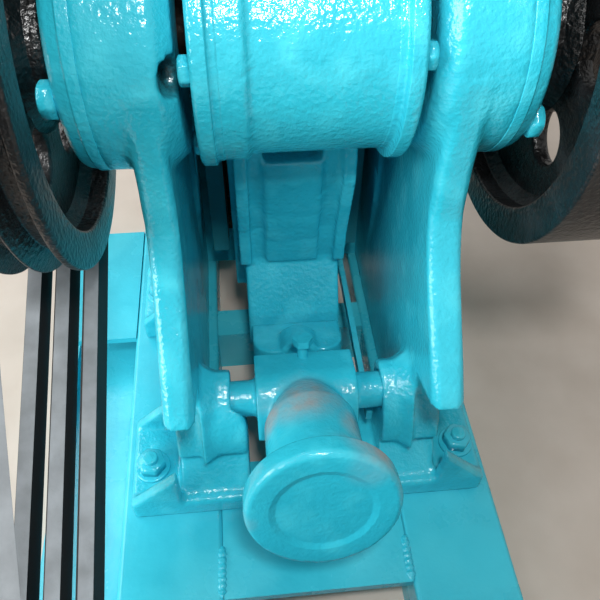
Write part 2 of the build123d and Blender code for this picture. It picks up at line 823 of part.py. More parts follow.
# Toggle with its seat: two rounded lobes at the rear and a round nose at the front
toggle_plan = Plane(origin=trunnion - rise_dir * (toggle_thick / 2), x_dir=(1, 0, 0), z_dir=rise_dir)
with BuildPart() as toggle:
    with BuildSketch(toggle_plan):
        with Locations((0, (seat_rear + lobe_radius + toggle_nose - nose_radius) / 2)):
            Rectangle(2 * toggle_half, toggle_nose - nose_radius - seat_rear - lobe_radius)
        for lobe_x in (lobe_radius - toggle_half, toggle_half - lobe_radius):
            with Locations((lobe_x, seat_rear + lobe_radius)):
                Circle(lobe_radius)
    extrude(amount=toggle_thick)
    with BuildSketch(Plane(origin=trunnion - Vector(toggle_half, 0, 0), x_dir=front_dir, z_dir=(1, 0, 0))):
        with Locations((toggle_nose - nose_radius, 0)):
            Circle(nose_radius)
    extrude(amount=2 * toggle_half)
    with BuildSketch(adjuster_plane(-seat_rear)):
        Circle(toggle_boss_radius)
    extrude(amount=-toggle_boss_length)
    with BuildSketch(adjuster_plane(-seat_rear - lobe_radius)):
        Circle(spindle_radius)
    extrude(amount=seat_spindle + lobe_radius)
save(toggle.part, "toggle_plate")

with BuildPart() as lock_screw:
    lock_base = trunnion + front_dir * lock_screw_offset + rise_dir * block_top
    with BuildSketch(Plane(origin=lock_base, x_dir=(1, 0, 0), z_dir=rise_dir)):
        Circle(lock_screw_radius)
    extrude(amount=lock_screw_height)
    lock_head_base = lock_base + rise_dir * lock_screw_height
    with BuildSketch(Plane(origin=lock_head_base, x_dir=(1, 0, 0), z_dir=rise_dir)):
        RegularPolygon(lock_head_radius, 6)
    extrude(amount=lock_head_height)
save(lock_screw.part, "lock_screw")

# Motor and belt drive
motor_z = base_height + motor_axis_height
belt_middle_x = -(rim_inner + pulley_width / 2)
motor_body_x = -rim_inner + motor_gap
motor_clear = motor_radius + motor_fin_depth + seat_gap
pulley_plane = Plane(
    origin=(belt_middle_x - pulley_width / 2, motor_y, motor_z), x_dir=(1, 0, 0), z_dir=(0, -1, 0)
)
with BuildPart() as motor_pulley:
    with BuildSketch(pulley_plane):
        with BuildLine():
            outline = [(0, motor_shaft_radius + running_fit), (0, motor_pulley_radius)]
            for index in range(belt_count):
                middle = groove_edge + index * belt_pitch
                outline.append((middle - groove_half_top, motor_pulley_radius))
                outline.append((middle - groove_half_foot, motor_pulley_radius - groove_depth))
                outline.append((middle + groove_half_foot, motor_pulley_radius - groove_depth))
                outline.append((middle + groove_half_top, motor_pulley_radius))
            outline.append((pulley_width, motor_pulley_radius))
            outline.append((pulley_width, motor_shaft_radius + running_fit))
            Polyline(*outline, close=True)
        make_face()
    revolve(axis=Axis((0, motor_y, motor_z), (1, 0, 0)))
save(motor_pulley.part, "motor_pulley")

with BuildPart() as motor_body:
    with BuildSketch(side_plane(motor_body_x)):
        with Locations((motor_y, motor_z)):
            Circle(motor_radius)
            with PolarLocations(motor_radius, motor_fins):
                Rectangle(2 * motor_fin_depth, motor_fin_thick)
    extrude(amount=motor_length * motor_body_share)
save(motor_body.part, "motor_body")

with BuildPart() as motor_shaft:
    with BuildSketch(side_plane(belt_middle_x - pulley_width / 2)):
        with Locations((motor_y, motor_z)):
            Circle(motor_shaft_radius)
    extrude(amount=motor_body_x - belt_middle_x + pulley_width / 2)
save(motor_shaft.part, "motor_shaft")

with BuildPart() as fan_cowl:
    with BuildSketch(side_plane(motor_body_x + motor_length * motor_body_share)):
        with Locations((motor_y, motor_z)):
            Circle(motor_radius + motor_fin_depth)
    extrude(amount=motor_length * (1 - motor_body_share))
save(fan_cowl.part, "motor_fan_cowl")

motor_foot_start = motor_body_x + (motor_length * motor_body_share - motor_foot_length) / 2
with BuildPart() as motor_feet:
    for foot_side in (-1, 1):
        with BuildSketch(side_plane(motor_foot_start)):
            with BuildLine():
                Polyline(
                    (motor_y + foot_side * motor_foot_outer, base_height),
                    (motor_y + foot_side * motor_foot_outer, base_height + motor_foot_thick),
                    (motor_y + foot_side * motor_radius, base_height + motor_foot_thick),
                    (motor_y + foot_side * motor_radius, motor_z - motor_foot_web_drop),
                    (motor_y + foot_side * motor_foot_toe, base_height),
                    close=True,
                )
            make_face()
        extrude(amount=motor_foot_length)
    with BuildSketch(side_plane(motor_foot_start)):
        with Locations((motor_y, motor_z)):
            Circle(motor_clear)
    extrude(amount=motor_foot_length, mode=Mode.SUBTRACT)
save(motor_feet.part, "motor_feet")

with BuildPart() as terminal_box:
    with BuildSketch(Plane.XY.offset(motor_z + motor_radius)):
        with Locations((motor_body_x + motor_length * motor_body_share / 2, motor_y)):
            RectangleRounded(terminal_box_size, terminal_box_size, terminal_box_corner)
    extrude(amount=motor_fin_depth + terminal_box_height)
    with BuildSketch(side_plane(motor_body_x)):
        with Locations((motor_y, motor_z)):
            Circle(motor_clear)
    extrude(amount=motor_length, mode=Mode.SUBTRACT)
save(terminal_box.part, "terminal_box")

# V-belts: tangent runs and arcs round the two pulleys, narrow side inwards
big = wheel_radius
small = motor_pulley_radius
gap_y = shaft_y - motor_y
gap_z = shaft_z - motor_z
centre_distance = sqrt(gap_y**2 + gap_z**2)
line_angle = atan2(gap_z, gap_y)
spread = asin((big - small) / centre_distance)


def rim_point(centre_y, centre_z, radius, angle):
    return (centre_y + radius * cos(angle), centre_z + radius * sin(angle))


def belt_path():
    """Corners of the belt's outer face in the side plane: two tangent runs and two arcs."""
    up = line_angle + radians(90) + spread
    down = line_angle - radians(90) - spread
    start = rim_point(motor_y, motor_z, small, up)
    top = rim_point(shaft_y, shaft_z, big, up)
    front = rim_point(shaft_y, shaft_z, big, line_angle)
    foot = rim_point(shaft_y, shaft_z, big, down)
    end = rim_point(motor_y, motor_z, small, down)
    back = rim_point(motor_y, motor_z, small, line_angle + radians(180))
    return start, top, front, foot, end, back


belt_solids = []
for index in range(belt_count):
    x = -(rim_inner + groove_edge + index * belt_pitch)
    with BuildPart() as belt:
        with BuildLine(side_plane(x)) as route:
            start, top, front, foot, end, back = belt_path()
            Line(start, top)
            ThreePointArc(top, front, foot)
            Line(foot, end)
            ThreePointArc(end, back, start)
        origin = route.wires()[0] @ 0
        along = route.wires()[0] % 0
        with BuildSketch(Plane(origin=origin, x_dir=(1, 0, 0), z_dir=along)) as section:
            inner_side = Vector(0, sin(line_angle), -cos(line_angle))
            inward = 1 if section.workplanes[0].y_dir.dot(inner_side) > 0 else -1
            with BuildLine():
                half = belt_top / 2
                narrow = half - belt_height * flank
                Polyline(
                    (-half, 0),
                    (half, 0),
                    (narrow, inward * belt_height),
                    (-narrow, inward * belt_height),
                    close=True,
                )
            make_face()
        sweep(path=route.wires()[0], transition=Transition.ROUND)
    belt_solids.append(belt.part.solids()[0])
save(Compound(belt_solids), "v_belts")
print("belt centre distance", round(centre_distance, 1), "angle", round(degrees(line_angle), 1))
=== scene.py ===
import json
import math
import random

import bmesh
import bpy
from mathutils import Matrix, Vector

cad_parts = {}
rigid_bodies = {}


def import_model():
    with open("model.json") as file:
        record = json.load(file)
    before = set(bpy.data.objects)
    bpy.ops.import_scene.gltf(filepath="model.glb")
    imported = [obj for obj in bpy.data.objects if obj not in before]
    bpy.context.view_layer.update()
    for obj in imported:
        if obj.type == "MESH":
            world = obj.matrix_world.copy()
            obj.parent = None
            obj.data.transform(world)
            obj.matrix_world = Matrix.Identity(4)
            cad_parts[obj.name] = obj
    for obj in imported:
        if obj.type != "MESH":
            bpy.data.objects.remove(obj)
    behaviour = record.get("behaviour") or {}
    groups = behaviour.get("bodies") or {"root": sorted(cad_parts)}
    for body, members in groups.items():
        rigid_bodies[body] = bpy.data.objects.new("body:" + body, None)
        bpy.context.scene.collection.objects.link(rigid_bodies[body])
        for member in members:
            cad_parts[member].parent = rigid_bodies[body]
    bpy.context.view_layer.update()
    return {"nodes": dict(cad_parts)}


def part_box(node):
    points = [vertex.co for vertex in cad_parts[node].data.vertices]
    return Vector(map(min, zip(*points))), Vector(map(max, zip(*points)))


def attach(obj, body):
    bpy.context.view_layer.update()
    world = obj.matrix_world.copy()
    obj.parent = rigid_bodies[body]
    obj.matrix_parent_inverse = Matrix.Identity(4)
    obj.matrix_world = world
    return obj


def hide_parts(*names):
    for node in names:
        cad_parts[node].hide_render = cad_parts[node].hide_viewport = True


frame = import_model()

nodes = frame["nodes"]
mm = 0.001
print("frame loaded:", len(nodes), "nodes")


# Where the photographer stood: behind the machine, looking down on the toggle adjuster
camera = {
    "place": (-37.0, -251.3, 545.0),    # mm in the part's frame
    "pitchDown": 48.92,
    "yawRight": 6.60,
    "roll": 1.28,
    "focalPixels": 669.3,
    "frameWidth": 600,
    "sensor": 36.0,
    "clip": (0.01, 50.0),               # m
}


def addObject(name, data):
    thing = bpy.data.objects.new(name, data)
    bpy.context.scene.collection.objects.link(thing)
    return thing


def placeCamera():
    pitch, yaw, roll = (math.radians(camera[key]) for key in ("pitchDown", "yawRight", "roll"))
    ahead = Vector((math.sin(yaw) * math.cos(pitch), math.cos(yaw) * math.cos(pitch), -math.sin(pitch)))
    level = Vector((math.cos(yaw), -math.sin(yaw), 0))
    upright = level.cross(ahead)
    right = level * math.cos(roll) + upright * math.sin(roll)
    up = upright * math.cos(roll) - level * math.sin(roll)
    data = bpy.data.cameras.new("photoCamera")
    data.sensor_width = camera["sensor"]
    data.lens = camera["focalPixels"] / camera["frameWidth"] * camera["sensor"]
    data.clip_start, data.clip_end = camera["clip"]
    turn = Matrix((right, up, -ahead)).transposed()
    viewer = addObject("photoCamera", data)
    viewer.matrix_world = Matrix.Translation(Vector(camera["place"]) * mm) @ turn.to_4x4()
    bpy.context.scene.camera = viewer


placeCamera()
print("camera placed")


# Materials

black = (0, 0, 0, 1)
white = (1, 1, 1, 1)

# numbers of the Mix node's sockets when it mixes colours
mixFactor, mixUnder, mixOver, mixResult = 0, 6, 7, 2


def linear(hexColour):
    channels = [int(hexColour[at:at + 2], 16) / 255 for at in (1, 3, 5)]
    return tuple(c / 12.92 if c <= 0.04045 else ((c + 0.055) / 1.055) ** 2.4 for c in channels) + (1.0,)


def addNode(tree, kind, inputs=None, stops=(), **settings):
    # inputs are sockets to link or values to set; stops are a ramp's two positions and colours
    node = tree.nodes.new("ShaderNode" + kind)
    for key, value in settings.items():
        setattr(node, key, value)
    for key, value in (inputs or {}).items():
        if isinstance(value, bpy.types.NodeSocket):
            tree.links.new(value, node.inputs[key])
        else:
            node.inputs[key].default_value = value
    for index, (position, colour) in enumerate(stops):
        node.color_ramp.elements[index].position = position
        node.color_ramp.elements[index].color = colour
    return node


def startMaterial(name, base, roughness, metallic=0.0):
    material = bpy.data.materials.new(name)
    material.use_nodes = True
    tree = material.node_tree
    tree.nodes.clear()
    shader = addNode(tree, "BsdfPrincipled")
    shader.inputs["Base Color"].default_value = linear(base)
    shader.inputs["Roughness"].default_value = roughness
    shader.inputs["Metallic"].default_value = metallic
    shader.inputs["IOR"].default_value = 1.5
    addNode(tree, "OutputMaterial", {"Surface": shader.outputs["BSDF"]})
    place = addNode(tree, "TexCoord").outputs["Object"]
    return material, tree, shader, place


def perMetre(sizeInMm):
    # a noise of this scale has features of about this size
    return 1000.0 / sizeInMm


# Alkyd enamel brushed over rough grey-iron castings: thick gloss film, sand texture showing through
enamelOnCasting = {
    "colour": "#36C3D8",
    "pooled": "#2DB6CB",        # where the film is thick it dries deeper
    "thin": "#4ACFE0",
    "patch": 90.0,              # mm, what one brushful covers
    "sandGrain": 3.0,           # mm, foundry sand under the paint, drawn coarser than the real 0.5
    "sandDepth": 0.6,           # mm from the noise's lowest to its highest, which it seldom reaches
    "waviness": 24.0,           # mm, the hand-rammed mould's unevenness
    "wavinessDepth": 0.5,
    "roughness": 0.17,
    "spots": (),                # places where a film colour is laid over the enamel: centre and reach in mm
    "film": "#8E9C9C",
    "smear": 16.0,              # mm, the film is cloudy at this size
}

# The jaw's barrel was cast in coarser sand, so its gloss breaks into glints
enamelOnBarrel = dict(enamelOnCasting, sandGrain=3.4, sandDepth=0.8, roughness=0.14)

# On the adjuster and its hand disc a grey-brown film is laid over the enamel at these spots
enamelGreyFilmSpots = dict(enamelOnCasting, sandDepth=0.44, film="#A09A96", spots=(
    ((-4, -4, 164), 36), ((-30, -12, 150), 24), ((28, -58, 184), 27), ((30, -30, 165), 20), ((-48, -78, 150), 14),
))

# The left housing has a notch in its inner end; a near-black film over it is painted shade, the dark of the deep
# recess
enamelWithPaintedShadeAtNotch = dict(enamelOnCasting, film="#0F0D0B", spots=(((-70, 63, 363), 18),))

# The same enamel on rolled channel and plate: flatter, with roller dust
enamelOnPlate = dict(enamelOnCasting, colour="#3BC1D4", pooled="#32B4C8", thin="#4DCCDC", sandGrain=6.0,
                     sandDepth=0.2, waviness=60.0, roughness=0.24)

# Stoved black enamel on the flywheels' rough castings: near black, with glints on the sand texture
blackEnamel = dict(enamelOnCasting, colour="#121314", pooled="#0B0C0D", thin="#26282A", sandGrain=3.4,
                   sandDepth=1.2, waviness=30.0, roughness=0.3)


def nearSpots(tree, place, spots):
    # 1 at the middle of each spot, fading to 0 at its reach
    total = None
    for centre, reach in spots:
        away = addNode(tree, "VectorMath", {0: place, 1: [v * mm for v in centre]}, operation="DISTANCE")
        near = addNode(tree, "MapRange", {"Value": away.outputs["Value"], "From Min": 0.25 * reach * mm,
                                          "From Max": reach * mm, "To Min": 1.0, "To Max": 0.0},
                       interpolation_type="SMOOTHSTEP").outputs["Result"]
        if total is not None:
            near = addNode(tree, "Math", {0: total, 1: near}, operation="MAXIMUM").outputs["Value"]
        total = near
    return total


def paintedCasting(name, facts):
    material, tree, shader, place = startMaterial(name, facts["colour"], facts["roughness"])
    sand = addNode(tree, "TexNoise", {"Vector": place, "Scale": perMetre(facts["sandGrain"]), "Detail": 2.0})
    waves = addNode(tree, "TexNoise", {"Vector": place, "Scale": perMetre(facts["waviness"]), "Detail": 2.0})
    patches = addNode(tree, "TexNoise", {"Vector": place, "Scale": perMetre(facts["patch"]), "Detail": 5.0,
                                         "Roughness": 0.6})
    tone = addNode(tree, "ValToRGB", {"Fac": patches.outputs["Fac"]},
                   ((0.38, linear(facts["pooled"])), (0.62, linear(facts["colour"]))))
    pale = addNode(tree, "ValToRGB", {"Fac": waves.outputs["Fac"]}, ((0.5, black), (0.8, white)))
    colour = addNode(tree, "Mix", {mixFactor: pale.outputs["Color"], mixUnder: tone.outputs["Color"],
                                   mixOver: linear(facts["thin"])}, data_type="RGBA")
    if facts["spots"]:
        smears = addNode(tree, "TexNoise", {"Vector": place, "Scale": perMetre(facts["smear"]), "Detail": 6.0,
                                            "Roughness": 0.65})
        cloudy = addNode(tree, "MapRange", {"Value": smears.outputs["Fac"], "From Min": 0.3, "From Max": 0.62,
                                            "To Min": 0.35, "To Max": 0.95})
        film = addNode(tree, "Math", {0: nearSpots(tree, place, facts["spots"]), 1: cloudy.outputs["Result"]},
                       operation="MULTIPLY")
        colour = addNode(tree, "Mix", {mixFactor: film.outputs["Value"], mixUnder: colour.outputs[mixResult],
                                       mixOver: linear(facts["film"])}, data_type="RGBA")
    tree.links.new(colour.outputs[mixResult], shader.inputs["Base Color"])
    # thick film is glossier than thin
    gloss = addNode(tree, "MapRange", {"Value": patches.outputs["Fac"], "To Min": facts["roughness"] * 0.7,
                                       "To Max": facts["roughness"] * 1.5})
    tree.links.new(gloss.outputs["Result"], shader.inputs["Roughness"])
    deep = addNode(tree, "Bump", {"Height": waves.outputs["Fac"], "Distance": facts["wavinessDepth"] * mm})
    fine = addNode(tree, "Bump", {"Height": sand.outputs["Fac"], "Normal": deep.outputs["Normal"],
                                  "Distance": facts["sandDepth"] * mm})
    tree.links.new(fine.outputs["Normal"], shader.inputs["Normal"])
    return material


# Wrapped V-belts of vulcanised rubber: dusty grey cloth back, black flanks
belt = {
    "back": "#82888C",
    "worn": "#64696C",          # where the pulleys have rubbed the dust off
    "flank": "#17181A",
    "cloth": 1.4,               # mm, the wrapper's weave, drawn coarser than the real 0.8
    "clothDepth": 0.3,
    "streak": 18.0,             # mm
    "roughness": 0.62,
}


def wrappedRubber(name):
    material, tree, shader, place = startMaterial(name, belt["flank"], belt["roughness"])
    facing = addNode(tree, "TexCoord").outputs["Normal"]
    across = addNode(tree, "SeparateXYZ", {"Vector": facing})
    flat = addNode(tree, "Math", {0: across.outputs["X"]}, operation="ABSOLUTE")
    isFlank = addNode(tree, "ValToRGB", {"Fac": flat.outputs["Value"]}, ((0.3, black), (0.45, white)))
    cloth = addNode(tree, "TexNoise", {"Vector": place, "Scale": perMetre(belt["cloth"]), "Detail": 2.0})
    streaks = addNode(tree, "TexNoise", {"Vector": place, "Scale": perMetre(belt["streak"]), "Detail": 5.0})
    dusty = addNode(tree, "ValToRGB", {"Fac": streaks.outputs["Fac"]},
                    ((0.3, linear(belt["worn"])), (0.75, linear(belt["back"]))))
    colour = addNode(tree, "Mix", {mixFactor: isFlank.outputs["Color"], mixUnder: dusty.outputs["Color"],
                                   mixOver: linear(belt["flank"])}, data_type="RGBA")
    tree.links.new(colour.outputs[mixResult], shader.inputs["Base Color"])
    bump = addNode(tree, "Bump", {"Height": cloth.outputs["Fac"], "Strength": 0.35,
                                  "Distance": belt["clothDepth"] * mm})
    tree.links.new(bump.outputs["Normal"], shader.inputs["Normal"])
    return material


# High-manganese steel castings of the jaw plates: dark scale with rust, bright where stone has rubbed
jawSteel = {
    "scale": "#3A3531",
    "rust": "#6B4630",
    "rubbed": "#9A958C",
    "blotch": 22.0,             # mm, patches of rust
    "grit": 2.5,                # mm, marks of the stone
    "gritDepth": 0.5,
    "roughness": 0.55,
    "metal": 0.8,
}

# The cheek plates' rear edges caught the enamel that drifted in past the jaw; from and to are mm along Y
cheekSteel = dict(jawSteel, drift="#2A8E9C", driftFrom=200.0, driftTo=208.0)


def manganeseSteel(name, facts):
    material, tree, shader, place = startMaterial(name, facts["scale"], facts["roughness"], facts["metal"])
    blotch = addNode(tree, "TexNoise", {"Vector": place, "Scale": perMetre(facts["blotch"]), "Detail": 6.0})
    grit = addNode(tree, "TexNoise", {"Vector": place, "Scale": perMetre(facts["grit"]), "Detail": 3.0})
    rusty = addNode(tree, "ValToRGB", {"Fac": blotch.outputs["Fac"]},
                    ((0.45, linear(facts["scale"])), (0.62, linear(facts["rust"]))))
    rubbed = addNode(tree, "ValToRGB", {"Fac": grit.outputs["Fac"]}, ((0.6, black), (0.8, white)))
    colour = addNode(tree, "Mix", {mixFactor: rubbed.outputs["Color"], mixUnder: rusty.outputs["Color"],
                                   mixOver: linear(facts["rubbed"])}, data_type="RGBA")
    if "drift" in facts:
        depth = addNode(tree, "SeparateXYZ", {"Vector": place})
        bare = addNode(tree, "MapRange", {"Value": depth.outputs["Y"], "From Min": facts["driftFrom"] * mm,
                                          "From Max": facts["driftTo"] * mm})
        colour = addNode(tree, "Mix", {mixFactor: bare.outputs["Result"], mixUnder: linear(facts["drift"]),
                                       mixOver: colour.outputs[mixResult]}, data_type="RGBA")
        metal = addNode(tree, "Math", {0: bare.outputs["Result"], 1: facts["metal"]}, operation="MULTIPLY")
        tree.links.new(metal.outputs["Value"], shader.inputs["Metallic"])
    tree.links.new(colour.outputs[mixResult], shader.inputs["Base Color"])
    bump = addNode(tree, "Bump", {"Height": grit.outputs["Fac"], "Strength": 0.6,
                                  "Distance": facts["gritDepth"] * mm})
    tree.links.new(bump.outputs["Normal"], shader.inputs["Normal"])
    return material


# Turned carbon steel of the shafts and caps: bright, with lathe lines across the axis and an oily bloom
turned = {
    "colour": "#A7A8A6",
    "oil": "#8A8274",
    "bloom": 5.0,               # mm
    "pitch": 5.0265,            # mm, the tool's feed, drawn coarser than the real 0.2
    "lineDepth": 0.1,
    "roughness": 0.28,
}

# Inside the bearings' gaps the same steel is near-black: old grease, and painted shade for the dark of the narrow
# gaps
greasyAndShadedSteel = dict(turned, colour="#24211E", oil="#0E0C0B", roughness=0.5)

# a Wave node draws 20 radians of its wave over one unit of scale
waveUnit = 2 * math.pi / 20


def turnedSteel(name, facts):
    material, tree, shader, place = startMaterial(name, facts["colour"], facts["roughness"], metallic=1.0)
    lathe = addNode(tree, "TexWave", {"Vector": place, "Scale": perMetre(facts["pitch"]) * waveUnit,
                                      "Distortion": 0.6, "Detail": 2.0}, wave_type="BANDS", bands_direction="X")
    bloom = addNode(tree, "TexNoise", {"Vector": place, "Scale": perMetre(facts["bloom"]), "Detail": 4.0})
    colour = addNode(tree, "ValToRGB", {"Fac": bloom.outputs["Fac"]},
                     ((0.4, linear(facts["colour"])), (0.7, linear(facts["oil"]))))
    tree.links.new(colour.outputs["Color"], shader.inputs["Base Color"])
    bump = addNode(tree, "Bump", {"Height": lathe.outputs["Fac"], "Strength": 0.2,
                                  "Distance": facts["lineDepth"] * mm})
    tree.links.new(bump.outputs["Normal"], shader.inputs["Normal"])
    return material


castingPaint = paintedCasting("tealAlkydEnamelOnCastIron", enamelOnCasting)
notchPaintedShade = paintedCasting("tealAlkydEnamelNotchPaintedShade", enamelWithPaintedShadeAtNotch)
barrelPaint = paintedCasting("tealAlkydEnamelOnCoarseCasting", enamelOnBarrel)
greyFilmedPaint = paintedCasting("tealAlkydEnamelGreyFilmed", enamelGreyFilmSpots)
platePaint = paintedCasting("tealAlkydEnamelOnRolledSteel", enamelOnPlate)
wheelPaint = paintedCasting("blackEnamelOnCastIron", blackEnamel)
beltRubber = wrappedRubber("wrappedBeltRubber")
jawMetal = manganeseSteel("manganeseSteelCasting", jawSteel)
cheekMetal = manganeseSteel("manganeseSteelWithPaintDrift", cheekSteel)
shaftMetal = turnedSteel("turnedCarbonSteel", turned)
# the eccentric shaft's near-black is partly painted shade of the bearing gaps
greasyShadedMetal = turnedSteel("greasyCarbonSteelPaintedShade", greasyAndShadedSteel)

# every other CAD node wears castingPaint
nodeFinishes = {
    platePaint: ("left_base_rail", "right_base_rail", "front_cross_member", "chamber_cross_member", "deck_plate",
                 "motor_plate", "rear_cross_member", "left_side_rail", "left_tie_plate", "tension_link"),
    wheelPaint: ("pulley_flywheel", "plain_flywheel", "motor_pulley"),
    beltRubber: ("v_belts",),
    jawMetal: ("fixed_jaw_plate", "moving_jaw_plate"),
    cheekMetal: ("left_cheek_plate", "right_cheek_plate"),
    shaftMetal: ("motor_shaft", "left_shaft_cap", "right_shaft_cap"),
    greasyShadedMetal: ("eccentric_shaft",),
}


def dressNodes():
    finishOf = {name: finish for finish, names in nodeFinishes.items() for name in names}
    for name, piece in nodes.items():
        piece.data.materials.clear()
        piece.data.materials.append(finishOf.get(name, castingPaint))


dressNodes()
print("materials made")


# Shapes, in mm of the part's frame

shaftAxis = Vector((0, 118, 355))
trunnion = Vector((0, 20, 125))
eccentric = 4
tilt = math.radians(17)
rearWay = Vector((0, -math.cos(tilt), math.sin(tilt)))
barrelAxis = shaftAxis + rearWay * eccentric
acrossWay = Vector((1, 0, 0))
onFace = 0.3            # a vertex this near to a face of the CAD shape lies on it


def toMesh(name, sculpt, size=mm):
    bmesh.ops.recalc_face_normals(sculpt, faces=sculpt.faces)
    mesh = bpy.data.meshes.new(name)
    sculpt.to_mesh(mesh)
    sculpt.free()
    mesh.transform(Matrix.Scale(size, 4))
    return mesh


def settledMesh(holder):
    # the holder's shape with its modifiers or bevels carried out; the holder itself goes
    bpy.context.view_layer.update()
    mesh = bpy.data.meshes.new_from_object(holder.evaluated_get(bpy.context.evaluated_depsgraph_get()))
    bpy.data.batch_remove((holder, holder.data))
    return mesh


def addPiece(name, shape, body, finish, replaced=(), smooth=True):
    mesh = toMesh(name, shape) if isinstance(shape, bmesh.types.BMesh) else shape
    for face in mesh.polygons:
        face.use_smooth = smooth
    mesh.materials.clear()
    mesh.materials.append(finish)
    piece = addObject(name, mesh)
    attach(piece, body)
    if replaced:
        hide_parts(*replaced)
    return piece


def nodeCorners(name):
    return (Vector(corner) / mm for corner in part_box(name))


def circlePoint(centre, x, radius, degrees):
    turn = math.radians(degrees)
    return Vector((x, centre.y + radius * math.cos(turn), centre.z + radius * math.sin(turn)))


def roundCorners(corners, steps=4, closed=True):
    # corners are (along, out, fillet radius); returns plain points with the fillets drawn
    points = []
    count = len(corners)
    for index, (a, b, radius) in enumerate(corners):
        here = Vector((a, b))
        if radius <= 0 or (not closed and index in (0, count - 1)):
            points.append((a, b))
            continue
        before = Vector(corners[index - 1][:2]) - here
        after = Vector(corners[(index + 1) % count][:2]) - here
        half = before.angle(after) / 2
        reach = min(radius / math.tan(half), before.length * 0.49, after.length * 0.49)
        radius = reach * math.tan(half)
        start = here + before.normalized() * reach
        end = here + after.normalized() * reach
        middle = here + (before.normalized() + after.normalized()).normalized() * (radius / math.sin(half))
        for step in range(steps + 1):
            chord = (start - middle).lerp(end - middle, step / steps)
            points.append(tuple(middle + chord.normalized() * radius))
    return points


def spokesOf(axis):
    axis = Vector(axis).normalized()
    first = axis.orthogonal().normalized()
    return axis, first, axis.cross(first)


def skinRings(sculpt, rings, closed=False, capped=True):
    # joins each ring of vertices to the next one; a ring of one vertex is a tip
    pairs = list(zip(rings, rings[1:]))
    if closed:
        pairs.append((rings[-1], rings[0]))
    for low, high in pairs:
        steps = max(len(low), len(high))
        if steps == 1:
            continue
        for step in range(steps):
            after = (step + 1) % steps
            corners = (low[step % len(low)], high[step % len(high)], high[after % len(high)],
                       low[after % len(low)])
            sculpt.faces.new(list(dict.fromkeys(corners)))
    if capped:
        sculpt.faces.new(rings[0])
        sculpt.faces.new(rings[-1])


def addLathe(sculpt, profile, centre, axis, steps=96, closed=True):
    # profile points are (along the axis, radius); a radius of 0 closes the end
    axis, first, second = spokesOf(axis)
    rings = []
    for along, radius in profile:
        base = Vector(centre) + axis * along
        turns = [2 * math.pi * step / steps for step in range(steps)] if radius >= 0.01 else [0]
        rings.append([sculpt.verts.new(base + (first * math.cos(turn) + second * math.sin(turn)) * radius)
                      for turn in turns])
    skinRings(sculpt, rings, closed, capped=False)


def addSections(sculpt, sections):
    # sections are (x, [(y, z), ...]) with as many points each
    skinRings(sculpt, [[sculpt.verts.new((x, y, z)) for y, z in points] for x, points in sections])


# Forged hexagon: corners and crown in parts of half its width over flats, the rest in mm
hexHead = {"corner": 1.13, "crown": 0.9, "chamfer": 0.55, "leastDrop": 0.3, "round": 0.35, "washer": 1.42}


def addHex(sculpt, place, axis, acrossFlats, height, turn=0.0, washer=0.0, steps=48):
    # a head with chamfered corners, on a round washer face if it has one
    apothem = acrossFlats / 2
    base = Vector(place)
    if washer:
        reach = apothem * hexHead["washer"]
        plate = [(0, 0, 0), (0, reach, 0), (washer, reach, washer * 0.45), (washer, 0, 0)]
        addLathe(sculpt, roundCorners(plate, 3, closed=False), base, axis, 40, closed=False)
        base = base + Vector(axis).normalized() * (washer - 0.1)
    axis, first, second = spokesOf(axis)
    crown = apothem * hexHead["crown"]
    rings = [[], [], [], []]
    for step in range(steps):
        angle = 2 * math.pi * step / steps
        sector = (angle + math.radians(30)) % math.radians(60) - math.radians(30)
        corner = min(apothem / math.cos(sector), apothem * hexHead["corner"])
        shoulder = height - max(hexHead["leastDrop"], (corner - crown) * hexHead["chamfer"])
        spoke = first * math.cos(angle + turn) + second * math.sin(angle + turn)
        levels = ((corner, 0), (corner, shoulder - 0.25), (corner - hexHead["round"], shoulder + 0.05),
                  (crown, height))
        for ring, (radius, along) in zip(rings, levels):
            ring.append(sculpt.verts.new(base + axis * along + spoke * radius))
    skinRings(sculpt, rings)


def circleOutline(radius, steps=96, middle=(0, 0)):
    turns = [2 * math.pi * step / steps for step in range(steps)]
    return [(middle[0] + radius * math.cos(turn), middle[1] + radius * math.sin(turn)) for turn in turns]


def addSheet(sculpt, outlines, thick, edge, edgeSteps, x, centre):
    # a sheet cut out along outlines, the first of them its rim and the rest its openings, edges rounded;
    # it is drawn flat and stands across the machine: its own x becomes +Y, its own y becomes +Z
    curve = bpy.data.curves.new("sheet", "CURVE")
    curve.dimensions = "2D"
    curve.fill_mode = "BOTH"
    for points in outlines:
        spline = curve.splines.new("POLY")
        spline.points.add(len(points) - 1)
        spline.use_cyclic_u = True
        for target, (u, v) in zip(spline.points, points):
            target.co = (u, v, 0, 1)
    curve.extrude = thick / 2 - edge
    curve.bevel_depth = edge
    curve.bevel_resolution = edgeSteps
    mesh = settledMesh(addObject("sheet", curve))
    mesh.transform(Matrix(((0, 0, 1, x), (1, 0, 0, centre.y), (0, 1, 0, centre.z), (0, 0, 0, 1))))
    sculpt.from_mesh(mesh)
    bpy.data.meshes.remove(mesh)


def nodeCopy(name, shift=None):
    # the CAD's own shape as a start, in mm, with its vertices moved by a function where the casting differs
    sculpt = bmesh.new()
    sculpt.from_mesh(nodes[name].data)
    bmesh.ops.scale(sculpt, vec=(1 / mm, 1 / mm, 1 / mm), verts=sculpt.verts)
    bmesh.ops.remove_doubles(sculpt, verts=sculpt.verts, dist=0.002)
    if shift:
        for vertex in sculpt.verts:
            vertex.co = shift(vertex.co.copy())
    return sculpt


def widen(point, centre, inside, extra):
    # opens a bore of the copy, so that the shaft in it stays clear of the softened skin
    away = Vector((0, point.y - centre.y, point.z - centre.z))
    if 0.1 < away.length < inside:
        return point + away.normalized() * extra
    return point


